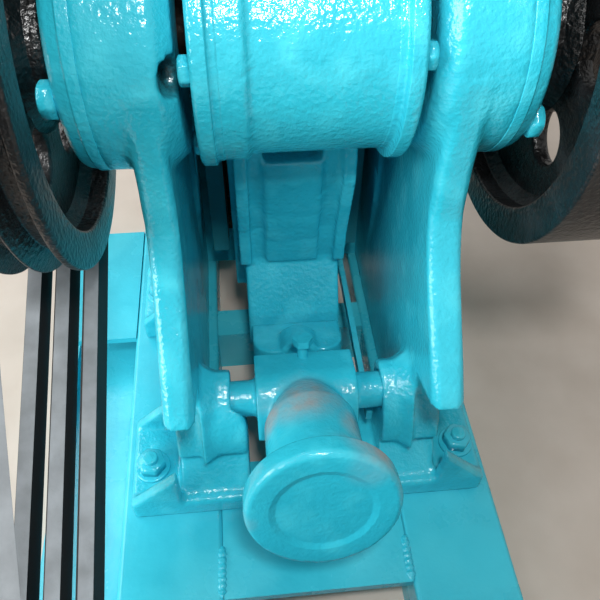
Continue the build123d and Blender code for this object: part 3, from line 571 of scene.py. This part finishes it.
def carve(sculpt, cutter):
    # takes the cutter's volume out of the shape
    carved = addObject("carved", toMesh("carved", sculpt, 1.0))
    tool = addObject("cutter", toMesh("cutter", cutter, 1.0))
    cut = carved.modifiers.new("cut", "BOOLEAN")
    cut.operation = "DIFFERENCE"
    cut.solver = "EXACT"
    cut.object = tool
    mesh = settledMesh(carved)
    bpy.data.batch_remove((tool, tool.data))
    result = bmesh.new()
    result.from_mesh(mesh)
    bpy.data.meshes.remove(mesh)
    return result


def castSkin(name, sculpt, facts):
    # one skin over all the forms, as the mould gives: edges and inner corners come out rounded
    shaper = addObject(name + "Shaper", toMesh(name + "Rough", sculpt))
    remesh = shaper.modifiers.new("skin", "REMESH")
    remesh.mode = "VOXEL"
    remesh.voxel_size = facts["voxel"] * mm
    soften = shaper.modifiers.new("soften", "SMOOTH")
    soften.factor = 0.5
    soften.iterations = facts["soften"]
    lighten = shaper.modifiers.new("lighten", "DECIMATE")
    lighten.ratio = facts["keep"]
    mesh = settledMesh(shaper)
    mesh.name = name
    return mesh


def aboutTrunnion(points):
    return [(trunnion.y + y, trunnion.z + z) for y, z in points]


# Side walls: one casting each, with housing, feet, lug and the thick fillets between them
wallCasting = {
    "voxel": 1.9, "soften": 6, "keep": 0.5,
    "bossFace": 66.0, "bossRadius": 73.0, "bossCore": 60.0,
    "bossEdge": (71.0, 75.6), "bossInner": 64.5,            # the boss's inner end is broadly rounded
    "housingEnd": 111.0, "housingTuck": 1.4,                # the housing runs on under its cover's edge
    "outer": 96.0, "outerSwell": {-1: 0.0, 1: 2.2},         # the right wall is cast a little thicker
    "footTop": 71.0,
    "shaftBore": (26.5, 1.0), "lugBore": (14.2, 0.7),       # radius of what is opened, and by how much
    "notch": {-1: (170, 62.0, 10.5, 9.0), 1: None},         # degrees, distance from the shaft, radius, depth
    "notchLead": 8.0,
}

# Filler between rim and housing: its outline about the trunnion, whose first corners are rounded off
rimRun = [(24.3, 237), (25, 215), (26.5, 195), (26.8, 178), (25, 160), (23.5, 136), (60, 136), (60, 237)]
rimInset = 4.0
rimFront = 6
rimStart = 76.2

# Cove between lug and wall: the lug's outline about the trunnion, which grows by the reach at the wall
lugSide = [(-23, -36), (-30, -26), (-24, -10), (-15.5, 9), (-6.5, 17), (5, 20), (11, 20), (20, 11), (20, -58),
           (-23, -58)]
cove = {"reach": 8.0, "corners": 8, "from": 66.0, "to": 77.0}


def wallShift(point):
    facts = wallCasting
    away = math.hypot(point.y - shaftAxis.y, point.z - shaftAxis.z)
    side = int(math.copysign(1, point.x))
    across = abs(point.x)
    edgeAt, edgeTo = facts["bossEdge"]
    if abs(across - edgeAt) < onFace and abs(away - facts["bossRadius"]) < 0.5:
        point.x = side * edgeTo
    elif abs(across - facts["bossFace"]) < onFace and away > facts["bossCore"]:
        share = facts["bossInner"] / away
        point.y = shaftAxis.y + (point.y - shaftAxis.y) * share
        point.z = shaftAxis.z + (point.z - shaftAxis.z) * share
    elif abs(across - facts["housingEnd"]) < onFace and away > facts["bossCore"]:
        point.x += side * facts["housingTuck"]
    elif facts["outer"] - 5 < across < facts["outer"] + 1 and point.z > facts["footTop"]:
        point.x += side * facts["outerSwell"][side]
    point = widen(point, shaftAxis, *facts["shaftBore"])
    return widen(point, trunnion, *facts["lugBore"])


def grow(points, reach, last):
    # moves the first corners of an outline outward, the rest stay
    grown = []
    for index, (y, z) in enumerate(points):
        along = (Vector(points[(index + 1) % len(points)]) - Vector(points[index - 1])).normalized()
        grown.append((y - along.y * reach, z + along.x * reach) if index < last else (y, z))
    return grown


def makeWall(side, name, node):
    facts = wallCasting
    sculpt = nodeCopy(node, wallShift)
    finish = castingPaint
    if facts["notch"][side]:
        degrees, reach, radius, depth = facts["notch"][side]
        cutter = bmesh.new()
        place = circlePoint(shaftAxis, side * facts["bossFace"], reach, degrees)
        profile = [(-facts["notchLead"], 0), (-facts["notchLead"], radius), (depth, radius), (depth, 0)]
        addLathe(cutter, profile, place, (side, 0, 0), 40, closed=False)
        sculpt = carve(sculpt, cutter)
        # the notch and the boss about it carry the near-black painted shade
        finish = notchPaintedShade
    # the rim runs off the housing without a corner
    outer = facts["outer"] + facts["outerSwell"][side]
    inset = [(y + (rimInset if index < rimFront else 0), z) for index, (y, z) in enumerate(rimRun)]
    layers = ((rimStart, inset), (76 + rimInset, rimRun), (outer - rimInset, rimRun), (outer - 0.2, inset))
    addSections(sculpt, [(side * x, aboutTrunnion(points)) for x, points in layers])
    layers = ((cove["from"], lugSide), (cove["to"], grow(lugSide, cove["reach"], cove["corners"])))
    addSections(sculpt, [(side * x, aboutTrunnion(points)) for x, points in layers])
    return addPiece(name, castSkin(name, sculpt, facts), "frame", finish, (node,))


for side, name, node in ((-1, "leftWallCasting", "left_side_wall"), (1, "rightWallCasting", "right_side_wall")):
    print(name, len(makeWall(side, name, node).data.polygons), "faces")

# Moving jaw: barrel, ribbed back and lower end in one casting
jawCasting = {
    "voxel": 1.6, "soften": 5, "keep": 0.6,
    "back": ((31, 106), (67, 103), (125, 88), (178, 94.2)),    # rise and reach of the back behind the trunnion
    "cadRib": (20.5, 32.0, 108.0),                             # half width, foot and top; the new rib covers it
    "ribDepth": 3.0, "ribHalf": 20.5, "ribShift": -1.5,        # broad middle rib, a little to the left
    "ribRises": (33.0, 67.0, 96.0, 125.0, 141.0), "ribRoot": 110.0,
    "pocketMouth": 70.0, "pocketDepth": 44.0,                  # dark gap between the rib's end and the barrel
    "pocketHeight": 18.0,
    "pocketSill": 6.0, "pocketLean": 4.0, "pocketDrop": 24.0,  # behind its sill the gap runs down
    "padFoot": 60.0, "padTop": 86.0, "padProud": 1.2, "padRoot": 112.0, "padInset": 0.5,
    "barrelBore": (32.5, 1.0),
}


def jawBackAt(rise):
    points = jawCasting["back"]
    for (low, lowReach), (high, highReach) in zip(points, points[1:]):
        if rise <= high or (high, highReach) == points[-1]:
            return lowReach + (highReach - lowReach) * (rise - low) / (high - low)


def jawShift(point):
    half, foot, top = jawCasting["cadRib"]
    rise = point.z - trunnion.z
    ribFace = jawBackAt(rise) + jawCasting["ribDepth"]
    if abs(point.x) < half and foot < rise < top and point.y - trunnion.y < ribFace - 0.5:
        point.y = trunnion.y + ribFace + 1.0
    return widen(point, barrelAxis, *jawCasting["barrelBore"])


def makeJaw():
    facts = jawCasting
    sculpt = nodeCopy("moving_jaw", jawShift)
    left, right = facts["ribShift"] - facts["ribHalf"], facts["ribShift"] + facts["ribHalf"]
    rises, root, mouth = facts["ribRises"], facts["ribRoot"], facts["pocketMouth"]
    top = rises[-1]
    sill = jawBackAt(top) + facts["pocketSill"]
    floor, ceiling, end = top - facts["pocketDrop"], top + facts["pocketHeight"], sill + facts["pocketDepth"]
    hollow = [(mouth, top), (sill, top), (sill + facts["pocketLean"], floor), (end, floor), (end, ceiling),
              (mouth, ceiling)]
    cutter = bmesh.new()
    addSections(cutter, [(x, aboutTrunnion(hollow)) for x in (left, right)])
    sculpt = carve(sculpt, cutter)
    rib = [(jawBackAt(rise) + facts["ribDepth"], rise) for rise in rises] + [(root, top), (root, rises[0])]
    addSections(sculpt, [(x, aboutTrunnion(rib)) for x in (left, right)])
    foot, head, proud, root = facts["padFoot"], facts["padTop"], facts["padProud"], facts["padRoot"]
    pad = [(jawBackAt(rise) + facts["ribDepth"] - lift, rise)
           for rise, lift in ((foot - 4, 0), (foot, proud * 0.8), (head - 9, proud), (head, 0))]
    pad += [(root, head), (root, foot - 4)]
    addSections(sculpt, [(x, aboutTrunnion(pad)) for x in (left + facts["padInset"], right - facts["padInset"])])
    mesh = castSkin("movingJawCasting", sculpt, facts)
    return addPiece("movingJawCasting", mesh, "jaw", barrelPaint, ("moving_jaw",))


print("movingJawCasting", len(makeJaw().data.polygons), "faces")

# Covers over the bearings: turned rims under the paint, so they are lathe shapes with soft edges
covers = {
    "leftBearingCover": ("left_bearing_cover", -1, "frame", shaftAxis, castingPaint),
    "rightBearingCover": ("right_bearing_cover", 1, "frame", shaftAxis, castingPaint),
    "leftBarrelCover": ("left_barrel_cover", -1, "jaw", barrelAxis, barrelPaint),
    "rightBarrelCover": ("right_barrel_cover", 1, "jaw", barrelAxis, barrelPaint),
}
bearingCoverProfile = [(111.5, 27, 0), (111.5, 73, 0.5), (117.6, 73, 0.9), (118.4, 72.2, 0.5), (127, 70.2, 6),
                       (127, 48, 1), (125.4, 44, 1), (125.4, 27, 0)]
barrelRadius = {-1: 69.0, 1: 66.0}      # the left end has a raised band


def barrelCoverProfile(surface):
    # paint and filler round the step between barrel and cover
    return [(49.4, 32.5, 0), (49.4, 60, 0), (43.5, 60, 0), (43.5, surface - 0.5, 0), (46, surface + 0.25, 1.5),
            (49.6, surface + 0.5, 2.0), (50.2, 72, 0.8), (59, 72, 2.6), (59, 46, 1), (57.6, 43, 1),
            (57.6, 32.5, 0)]


def makeCovers():
    for name, (node, side, body, centre, finish) in covers.items():
        profile = barrelCoverProfile(barrelRadius[side]) if body == "jaw" else bearingCoverProfile
        sculpt = bmesh.new()
        addLathe(sculpt, roundCorners(profile), (0, centre.y, centre.z), (side, 0, 0), 144)
        addPiece(name, sculpt, body, finish, (node,))


makeCovers()

# Hexagon bolts, painted over with the rest: body, centre of their circle, x, first one's angle, flats, height
coverBolts = {
    "leftBearingCoverBolts": ("frame", shaftAxis, -126.8, 179, 17.5, 8.0),
    "rightBearingCoverBolts": ("frame", shaftAxis, 126.8, 207, 17.5, 8.0),
    "leftBarrelCoverBolts": ("jaw", barrelAxis, -58.8, 167, 14, 5.8),
    "rightBarrelCoverBolts": ("jaw", barrelAxis, 58.8, 164, 14, 5.8),
}
coverBoltCircle = 62.5
footBolts = {"x": (-119, 119), "y": (0, 179), "seat": 69.8, "flats": 19, "height": 9.5, "washer": 2.5}
footStub = [(0, 0, 0), (0, 5.7, 0), (16, 5.7, 1.2), (16, 0, 0)]


def makeBolts():
    shuffle = random.Random(7)
    for name, (body, centre, x, start, flats, height) in coverBolts.items():
        sculpt = bmesh.new()
        for quarter in range(4):
            place = circlePoint(centre, x, coverBoltCircle, start + 90 * quarter)
            addHex(sculpt, place, (math.copysign(1, x), 0, 0), flats, height, turn=shuffle.uniform(0, 1))
        addPiece(name, sculpt, body, castingPaint)
    facts = footBolts
    sculpt = bmesh.new()
    for x in facts["x"]:
        for y in facts["y"]:
            addHex(sculpt, (x, y, facts["seat"]), (0, 0, 1), facts["flats"], facts["height"],
                   turn=shuffle.uniform(0, 1), washer=facts["washer"])
            addLathe(sculpt, roundCorners(footStub, 3, closed=False), (x, y, 70), (0, 0, 1), 32, closed=False)
    addPiece("footBolts", sculpt, "frame", castingPaint)


makeBolts()
print("covers and bolts made")

# Adjuster: the T casting, its hand disc and the toggle with its seat
blockCasting = {"voxel": 1.25, "soften": 5, "keep": 0.6}
toggleCasting = {"voxel": 1.2, "soften": 5, "keep": 0.6}
spindleBore = (14.05, 15.0)     # radius in the CAD, and in the copy so that the skin stays clear of the spindle
discProfile = [(66, 0, 0), (66, 13.6, 1), (94.7, 13.6, 0), (94.7, 46.5, 0), (96, 49, 2.5), (111, 49, 4.6),
               (110.6, 34, 3), (109.0, 30.0, 3), (109.6, 12, 6), (109.4, 0, 0)]


def clearSpindle(point):
    along = (point - trunnion).dot(rearWay)
    away = (point - trunnion) - rearWay * along
    if abs(away.length - spindleBore[0]) < onFace:
        return trunnion + rearWay * along + away.normalized() * spindleBore[1]
    return point


def makeAdjuster():
    mesh = castSkin("adjusterCasting", nodeCopy("adjuster_block", clearSpindle), blockCasting)
    addPiece("adjusterCasting", mesh, "adjuster", greyFilmedPaint, ("adjuster_block",))
    sculpt = bmesh.new()
    addLathe(sculpt, roundCorners(discProfile, 5, closed=False), trunnion, rearWay, 160, closed=False)
    addPiece("adjusterHandDisc", sculpt, "disc", greyFilmedPaint, ("adjuster_disc",))
    mesh = castSkin("toggleCasting", nodeCopy("toggle_plate"), toggleCasting)
    addPiece("toggleCasting", mesh, "toggle", castingPaint, ("toggle_plate",))


makeAdjuster()
print("adjuster made")

# Flywheels: turned rim and hub with a cored web between them
wheelShape = {"inner": 128.7, "rimInner": 108.0, "radius": 130.0, "webInset": 19.0, "webThick": 10.0, "hub": 44.0,
              "hubInset": 4.0, "bore": 25.6, "fillet": 7.0,
              "holes": 6, "holeRadius": 17.0, "holeCircle": 66.0, "holeEdge": 2.5}
wheels = {
    "groovedFlywheel": {"node": "pulley_flywheel", "side": -1, "width": 66.0, "grooves": (14.0, 33.0, 52.0),
                        "holeStart": 42.0},
    "plainFlywheel": {"node": "plain_flywheel", "side": 1, "width": 60.0, "grooves": (), "holeStart": 47.0},
}
groove = {"halfTop": 8.82, "halfFoot": 4.09, "depth": 13.0}


def webOutlines(holeStart):
    shape = wheelShape
    # rim and hub overlap the web by 3 mm
    outlines = [circleOutline(shape["rimInner"] + 3), circleOutline(shape["hub"] - 3)]
    for index in range(shape["holes"]):
        turn = math.radians(holeStart + 360 / shape["holes"] * index)
        middle = (shape["holeCircle"] * math.cos(turn), shape["holeCircle"] * math.sin(turn))
        outlines.append(circleOutline(shape["holeRadius"] + shape["holeEdge"], 48, middle))
    return outlines


def makeWheel(name, facts):
    side, width, shape = facts["side"], facts["width"], wheelShape
    radius, inner, hub, fillet = shape["radius"], shape["rimInner"], shape["hub"], shape["fillet"]
    webLow, webHigh = shape["webInset"], shape["webInset"] + shape["webThick"]
    rim = [(0, radius, 1.8)]
    for middle in facts["grooves"]:
        for sign in (-1, 1):
            top = (middle + sign * groove["halfTop"], radius, 0.9)
            foot = (middle + sign * groove["halfFoot"], radius - groove["depth"], 1.0)
            rim += [top, foot] if sign < 0 else [foot, top]
    rim += [(width, radius, 1.8), (width, inner - 1, 1.8), (webHigh + fillet, inner, 1),
            (webHigh - 0.3, inner - fillet, 1), (webLow + 0.3, inner - fillet, 1), (webLow - fillet, inner, 1),
            (0, inner - 1, 1.8)]
    hubLow, hubHigh = shape["hubInset"], width - shape["hubInset"]
    boss = [(hubLow, shape["bore"], 0), (hubLow, hub - 1, 2), (webLow - fillet, hub, 1),
            (webLow + 0.3, hub + fillet, 1), (webHigh - 0.3, hub + fillet, 1), (webHigh + fillet, hub, 1),
            (hubHigh, hub - 1, 2), (hubHigh, shape["bore"], 0)]
    sculpt = bmesh.new()
    centre = (side * shape["inner"], shaftAxis.y, shaftAxis.z)
    addLathe(sculpt, roundCorners(rim, 3), centre, (side, 0, 0), 160)
    addLathe(sculpt, roundCorners(boss, 3), centre, (side, 0, 0), 96)
    addSheet(sculpt, webOutlines(facts["holeStart"]), shape["webThick"], shape["holeEdge"], 3,
             side * (shape["inner"] + (webLow + webHigh) / 2), shaftAxis)
    return addPiece(name, sculpt, "drive_shaft", wheelPaint, (facts["node"],))


for name, facts in wheels.items():
    print(name, len(makeWheel(name, facts).data.polygons), "faces")


# Motor: pressed fan cowl over its fan
motorAxis = Vector((0, -231, 130))
cowl = {"radius": 76.9, "sheet": 2.0, "edge": 9.0, "lip": 4.0, "grille": 61.0,
        "slotRings": (16.0, 27.0, 38.0, 49.0), "slotHalf": 3.6, "slotGap": 5.0,
        "slotsPerRing": 8, "fullRing": 38.0}        # that many slots at that radius, fewer further in
fan = {"hub": 16.0, "reach": 58.0, "blades": 9, "blade": 2.4, "depth": 16.0, "behind": 6.0,
       "bladeEnds": ((14.0, -1.0), (57.0, -4.0))}   # radius and free edge at the root and at the tip


def arcSlot(middle, half, start, end, steps=10):
    # curved slot with rounded ends
    points = []
    for sign, turns, last in ((1, range(steps + 1), end), (-1, range(steps, -1, -1), start)):
        for step in turns:
            turn = start + (end - start) * step / steps
            points.append(((middle + sign * half) * math.cos(turn), (middle + sign * half) * math.sin(turn)))
        for share in (0.25, 0.5, 0.75):
            bow = math.pi * share
            reach = middle + sign * half * math.cos(bow)
            away = sign * half * math.sin(bow) / middle
            points.append((reach * math.cos(last + away), reach * math.sin(last + away)))
    return points


def makeCowl():
    low, high = nodeCorners("motor_fan_cowl")
    length = high.x - low.x
    radius, sheet, lip, grille = cowl["radius"], cowl["sheet"], cowl["lip"], cowl["grille"]
    sculpt = bmesh.new()
    profile = [(0, radius - sheet, 0), (0, radius, 0.8), (lip, radius, 0), (length, radius, cowl["edge"]),
               (length, grille - 1, 0), (length - sheet, grille - 1, 0),
               (length - sheet, radius - sheet, cowl["edge"] - sheet)]
    addLathe(sculpt, roundCorners(profile, 6), (low.x, motorAxis.y, motorAxis.z), (1, 0, 0), 128)
    outlines = [circleOutline(grille + 0.5)]
    for ring in cowl["slotRings"]:
        count = max(4, round(cowl["slotsPerRing"] * ring / cowl["fullRing"]))
        margin = (cowl["slotGap"] / 2 + cowl["slotHalf"]) / ring
        for index in range(count):
            first = 2 * math.pi * index / count
            last = first + 2 * math.pi / count
            outlines.append(arcSlot(ring, cowl["slotHalf"], first + margin, last - margin))
    addSheet(sculpt, outlines, sheet, 0.5, 2, high.x - sheet / 2, motorAxis)
    addPiece("motorFanCowl", sculpt, "frame", platePaint, ("motor_fan_cowl",))
    makeFan(high.x - sheet - fan["behind"])


def makeFan(back):
    depth, reach, hub = fan["depth"], fan["reach"], fan["hub"]
    sculpt = bmesh.new()
    profile = [(-depth, 0, 0), (-depth, reach, 1), (2 - depth, reach, 1), (3 - depth, hub + 3, 3), (0, hub, 2),
               (0.5, 0, 0)]
    addLathe(sculpt, roundCorners(profile, 3, closed=False), (back, motorAxis.y, motorAxis.z), (1, 0, 0), 72,
             closed=False)
    for index in range(fan["blades"]):
        turn = 2 * math.pi * index / fan["blades"]
        outward = Vector((0, math.cos(turn), math.sin(turn)))
        aside = acrossWay.cross(outward) * fan["blade"] / 2
        corners = []
        for radius, edge in fan["bladeEnds"]:
            for along in (-depth, edge):
                spot = Vector((back + along, motorAxis.y, motorAxis.z)) + outward * radius
                corners += [sculpt.verts.new(spot - aside), sculpt.verts.new(spot + aside)]
        for face in ((0, 1, 3, 2), (4, 6, 7, 5), (0, 2, 6, 4), (1, 5, 7, 3), (2, 3, 7, 6), (0, 4, 5, 1)):
            sculpt.faces.new([corners[corner] for corner in face])
    addPiece("motorFan", sculpt, "frame", wheelPaint, smooth=False)


# Cast end shields, as profiles from the motor body's two ends
shields = {
    "driveEnd": [(12, 60, 0), (12, 72.4, 1), (9, 77, 1), (3, 77, 3), (0, 68.4, 3), (-0.6, 40, 3), (-3.6, 31, 2.5),
                 (-3.6, 14.2, 1), (-1.5, 10.2, 0.5), (4, 10.2, 0), (4, 60, 0)],
    "fanEnd": [(-9, 60, 0), (-9, 72.4, 1), (-7, 75.9, 1), (-1, 75.9, 0.8), (-0.5, 73.4, 0), (-0.5, 60, 0)],
    "bolts": 4, "boltCircle": 62.0, "boltFlats": 10.0, "boltHeight": 4.2,
}


def makeShields():
    low, high = nodeCorners("motor_body")
    sculpt = bmesh.new()
    for end, x in (("driveEnd", low.x), ("fanEnd", high.x)):
        addLathe(sculpt, roundCorners(shields[end]), (x, motorAxis.y, motorAxis.z), (1, 0, 0), 128)
    for index in range(shields["bolts"]):
        place = circlePoint(motorAxis, low.x - 0.2, shields["boltCircle"], 45 + 90 * index)
        addHex(sculpt, place, (-1, 0, 0), shields["boltFlats"], shields["boltHeight"], turn=0.3 * index)
    addPiece("motorEndShields", sculpt, "frame", castingPaint)


# Terminal box: a body, a lid that overlaps it, four screws let into the lid
terminal = {"half": 42.0, "bodyInset": 1.6, "bodyCorner": 7.0, "lid": 10.0, "lidCorner": 8.0, "lidEdge": 3.0,
            "screwInset": 9.0, "screwSink": 1.2}
screwHead = [(-1, 0, 0), (-1, 3.6, 0), (0.9, 3.6, 0.8), (0.9, 0, 0)]


def addStack(sculpt, centre, levels):
    # levels are (z, half width, corner radius) of rounded squares
    rings = []
    for z, half, corner in levels:
        square = [(half, half, corner), (-half, half, corner), (-half, -half, corner), (half, -half, corner)]
        rings.append([sculpt.verts.new((centre.x + u, centre.y + v, z)) for u, v in roundCorners(square, 6)])
    skinRings(sculpt, rings)


def makeTerminalBox():
    low, high = nodeCorners("terminal_box")
    centre = (low + high) / 2
    half, edge, top = terminal["half"], terminal["lidEdge"], high.z
    body, bodyCorner, lidCorner = half - terminal["bodyInset"], terminal["bodyCorner"], terminal["lidCorner"]
    seam = top - terminal["lid"]
    sculpt = bmesh.new()
    addStack(sculpt, centre, [(low.z + 1, body, bodyCorner), (seam - 1.2, body, bodyCorner),
                              (seam - 0.6, body - 0.6, bodyCorner - 0.5)])
    levels = [(seam - 0.8, half - 2, lidCorner - 1), (seam, half - 0.8, lidCorner - 0.5),
              (seam + 0.8, half, lidCorner)]
    for step in range(6):
        turn = math.pi / 2 * step / 5
        levels.append((top - edge + edge * math.sin(turn), half - edge + edge * math.cos(turn), lidCorner))
    addStack(sculpt, centre, levels)
    spot = half - terminal["screwInset"]
    for across in (-spot, spot):
        for along in (-spot, spot):
            place = (centre.x + across, centre.y + along, top - terminal["screwSink"])
            addLathe(sculpt, roundCorners(screwHead, closed=False), place, (0, 0, 1), 28, closed=False)
    addPiece("motorTerminalBox", sculpt, "frame", castingPaint, ("terminal_box",))


motorBolts = {"inX": 18.0, "inY": 6.2, "seat": 61.8, "flats": 9.0, "height": 4.6}


def makeMotorBolts():
    low, high = nodeCorners("motor_feet")
    facts = motorBolts
    shuffle = random.Random(3)
    sculpt = bmesh.new()
    for x in (low.x + facts["inX"], high.x - facts["inX"]):
        for y in (low.y + facts["inY"], high.y - facts["inY"]):
            addHex(sculpt, (x, y, facts["seat"]), (0, 0, 1), facts["flats"], facts["height"],
                   turn=shuffle.uniform(0, 1))
    addPiece("motorFootBolts", sculpt, "frame", castingPaint)


makeCowl()
makeShields()
makeTerminalBox()
makeMotorBolts()
print("motor made")

# Shaft ends: turned caps that hold the flywheels on, each with its bolt let in
shaftEnds = {"leftShaftEndCap": ("left_shaft_cap", -1, 190.7), "rightShaftEndCap": ("right_shaft_cap", 1, 184.7)}
capProfile = [(0, 0, 0), (0, 33.9, 0.6), (6.9, 33.9, 1.4), (6.9, 16, 1), (2.6, 15, 0.6), (2.6, 0, 0)]
capBolt = {"seat": 2.4, "flats": 22, "height": 4.0, "turn": 0.4}


def makeShaftEnds():
    for name, (node, side, start) in shaftEnds.items():
        sculpt = bmesh.new()
        place = Vector((side * start, shaftAxis.y, shaftAxis.z))
        addLathe(sculpt, roundCorners(capProfile, closed=False), place, (side, 0, 0), closed=False)
        addHex(sculpt, place + acrossWay * side * capBolt["seat"], (side, 0, 0), capBolt["flats"],
               capBolt["height"], turn=capBolt["turn"])
        addPiece(name, sculpt, "drive_shaft", shaftMetal, (node,))


makeShaftEnds()
print("shaft ends made")

# Weld beads along the base's seams, each ripple one pause of the rod
welds = (((-68.5, -58, 49.6), (-69.5, -96, 49.6)), ((67.5, -62, 49.6), (66.8, -97, 49.6)))
bead = {"radius": 3.4, "flatness": 0.62, "ripplePitch": 4.5, "ripple": 0.28, "step": 0.75, "sides": 14,
        "endLength": 1 / 8, "endSize": 0.15}


def makeWelds():
    shuffle = random.Random(11)
    sculpt = bmesh.new()
    turns = [2 * math.pi * side / bead["sides"] for side in range(bead["sides"])]
    for start, end in (map(Vector, weld) for weld in welds):
        length = (end - start).length
        sideways = (end - start).normalized().cross(Vector((0, 0, 1))).normalized()
        stations = int(length / bead["step"])
        rings = []
        for station in range(stations + 1):
            share = station / stations
            wave = abs(math.sin(math.pi * share * length / bead["ripplePitch"]))
            taper = min(1, min(share, 1 - share) / bead["endLength"] + bead["endSize"])
            radius = bead["radius"] * (1 - bead["ripple"] + bead["ripple"] * wave) * taper
            radius *= shuffle.uniform(0.95, 1.05)
            centre = start.lerp(end, share)
            rings.append([sculpt.verts.new(centre + sideways * radius * math.cos(turn)
                                           + Vector((0, 0, bead["flatness"] * radius * math.sin(turn))))
                          for turn in turns])
        skinRings(sculpt, rings)
    addPiece("baseWeldBeads", sculpt, "frame", castingPaint)


makeWelds()
print("welds made")


# Floor and light

studio = {
    "floorSize": 30.0,              # m
    "floorColours": ("#CDBFB2", "#DACDC1"),
    "floorPatch": 71.43,            # mm, sealed concrete's clouds
    "skyColour": "#F4F3F0",
    "skyStrength": 0.2,
    "backdropStrength": 0.8,
    "aim": (0.0, 0.03, 0.25),
}

# place in m, size in m, power in W
lamps = {
    "keyWindow": ((0.01, -0.29, 0.81), 0.085, 2.95),        # a small soft box above the lens
    "fillPanel": ((-1.9, -0.95, 1.15), 1.4, 62.0),          # a window on the left
    "frontPanel": ((-1.3, 0.9, 1.9), 1.6, 30.0),            # a skylight beyond the machine, for the plates' gloss
}


def makeFloor():
    half = studio["floorSize"] / 2
    mesh = bpy.data.meshes.new("studioFloor")
    mesh.from_pydata([(-half, -half, 0), (half, -half, 0), (half, half, 0), (-half, half, 0)], [], [(0, 1, 2, 3)])
    floor = addObject("studioFloor", mesh)
    low, high = studio["floorColours"]
    material, tree, shader, place = startMaterial("paleStudioFloor", high, 0.7)
    clouds = addNode(tree, "TexNoise", {"Vector": place, "Scale": perMetre(studio["floorPatch"]), "Detail": 6.0})
    colour = addNode(tree, "ValToRGB", {"Fac": clouds.outputs["Fac"]}, ((0.3, linear(low)), (0.7, linear(high))))
    tree.links.new(colour.outputs["Color"], shader.inputs["Base Color"])
    mesh.materials.append(material)


def lightStudio():
    for name, (place, size, power) in lamps.items():
        data = bpy.data.lights.new(name, "AREA")
        data.size = size
        data.energy = power
        lamp = addObject(name, data)
        lamp.location = place
        lamp.rotation_euler = (Vector(studio["aim"]) - Vector(place)).to_track_quat("-Z", "Y").to_euler()
        lamp.visible_camera = False
    world = bpy.data.worlds.new("studioSky")
    world.use_nodes = True
    tree = world.node_tree
    background = tree.nodes["Background"]
    background.inputs["Color"].default_value = linear(studio["skyColour"])
    # the backdrop is paler than the light that it gives
    path = addNode(tree, "LightPath")
    seen = path.outputs["Is Camera Ray"]
    for kind in ("Is Glossy Ray", "Is Transmission Ray"):
        seen = addNode(tree, "Math", {0: seen, 1: path.outputs[kind]}, operation="MAXIMUM").outputs["Value"]
    strength = addNode(tree, "MapRange", {"Value": seen, "To Min": studio["skyStrength"],
                                          "To Max": studio["backdropStrength"]})
    tree.links.new(strength.outputs["Result"], background.inputs["Strength"])
    bpy.context.scene.world = world


makeFloor()
lightStudio()
bpy.context.scene.view_settings.view_transform = "Standard"
print("studio ready")
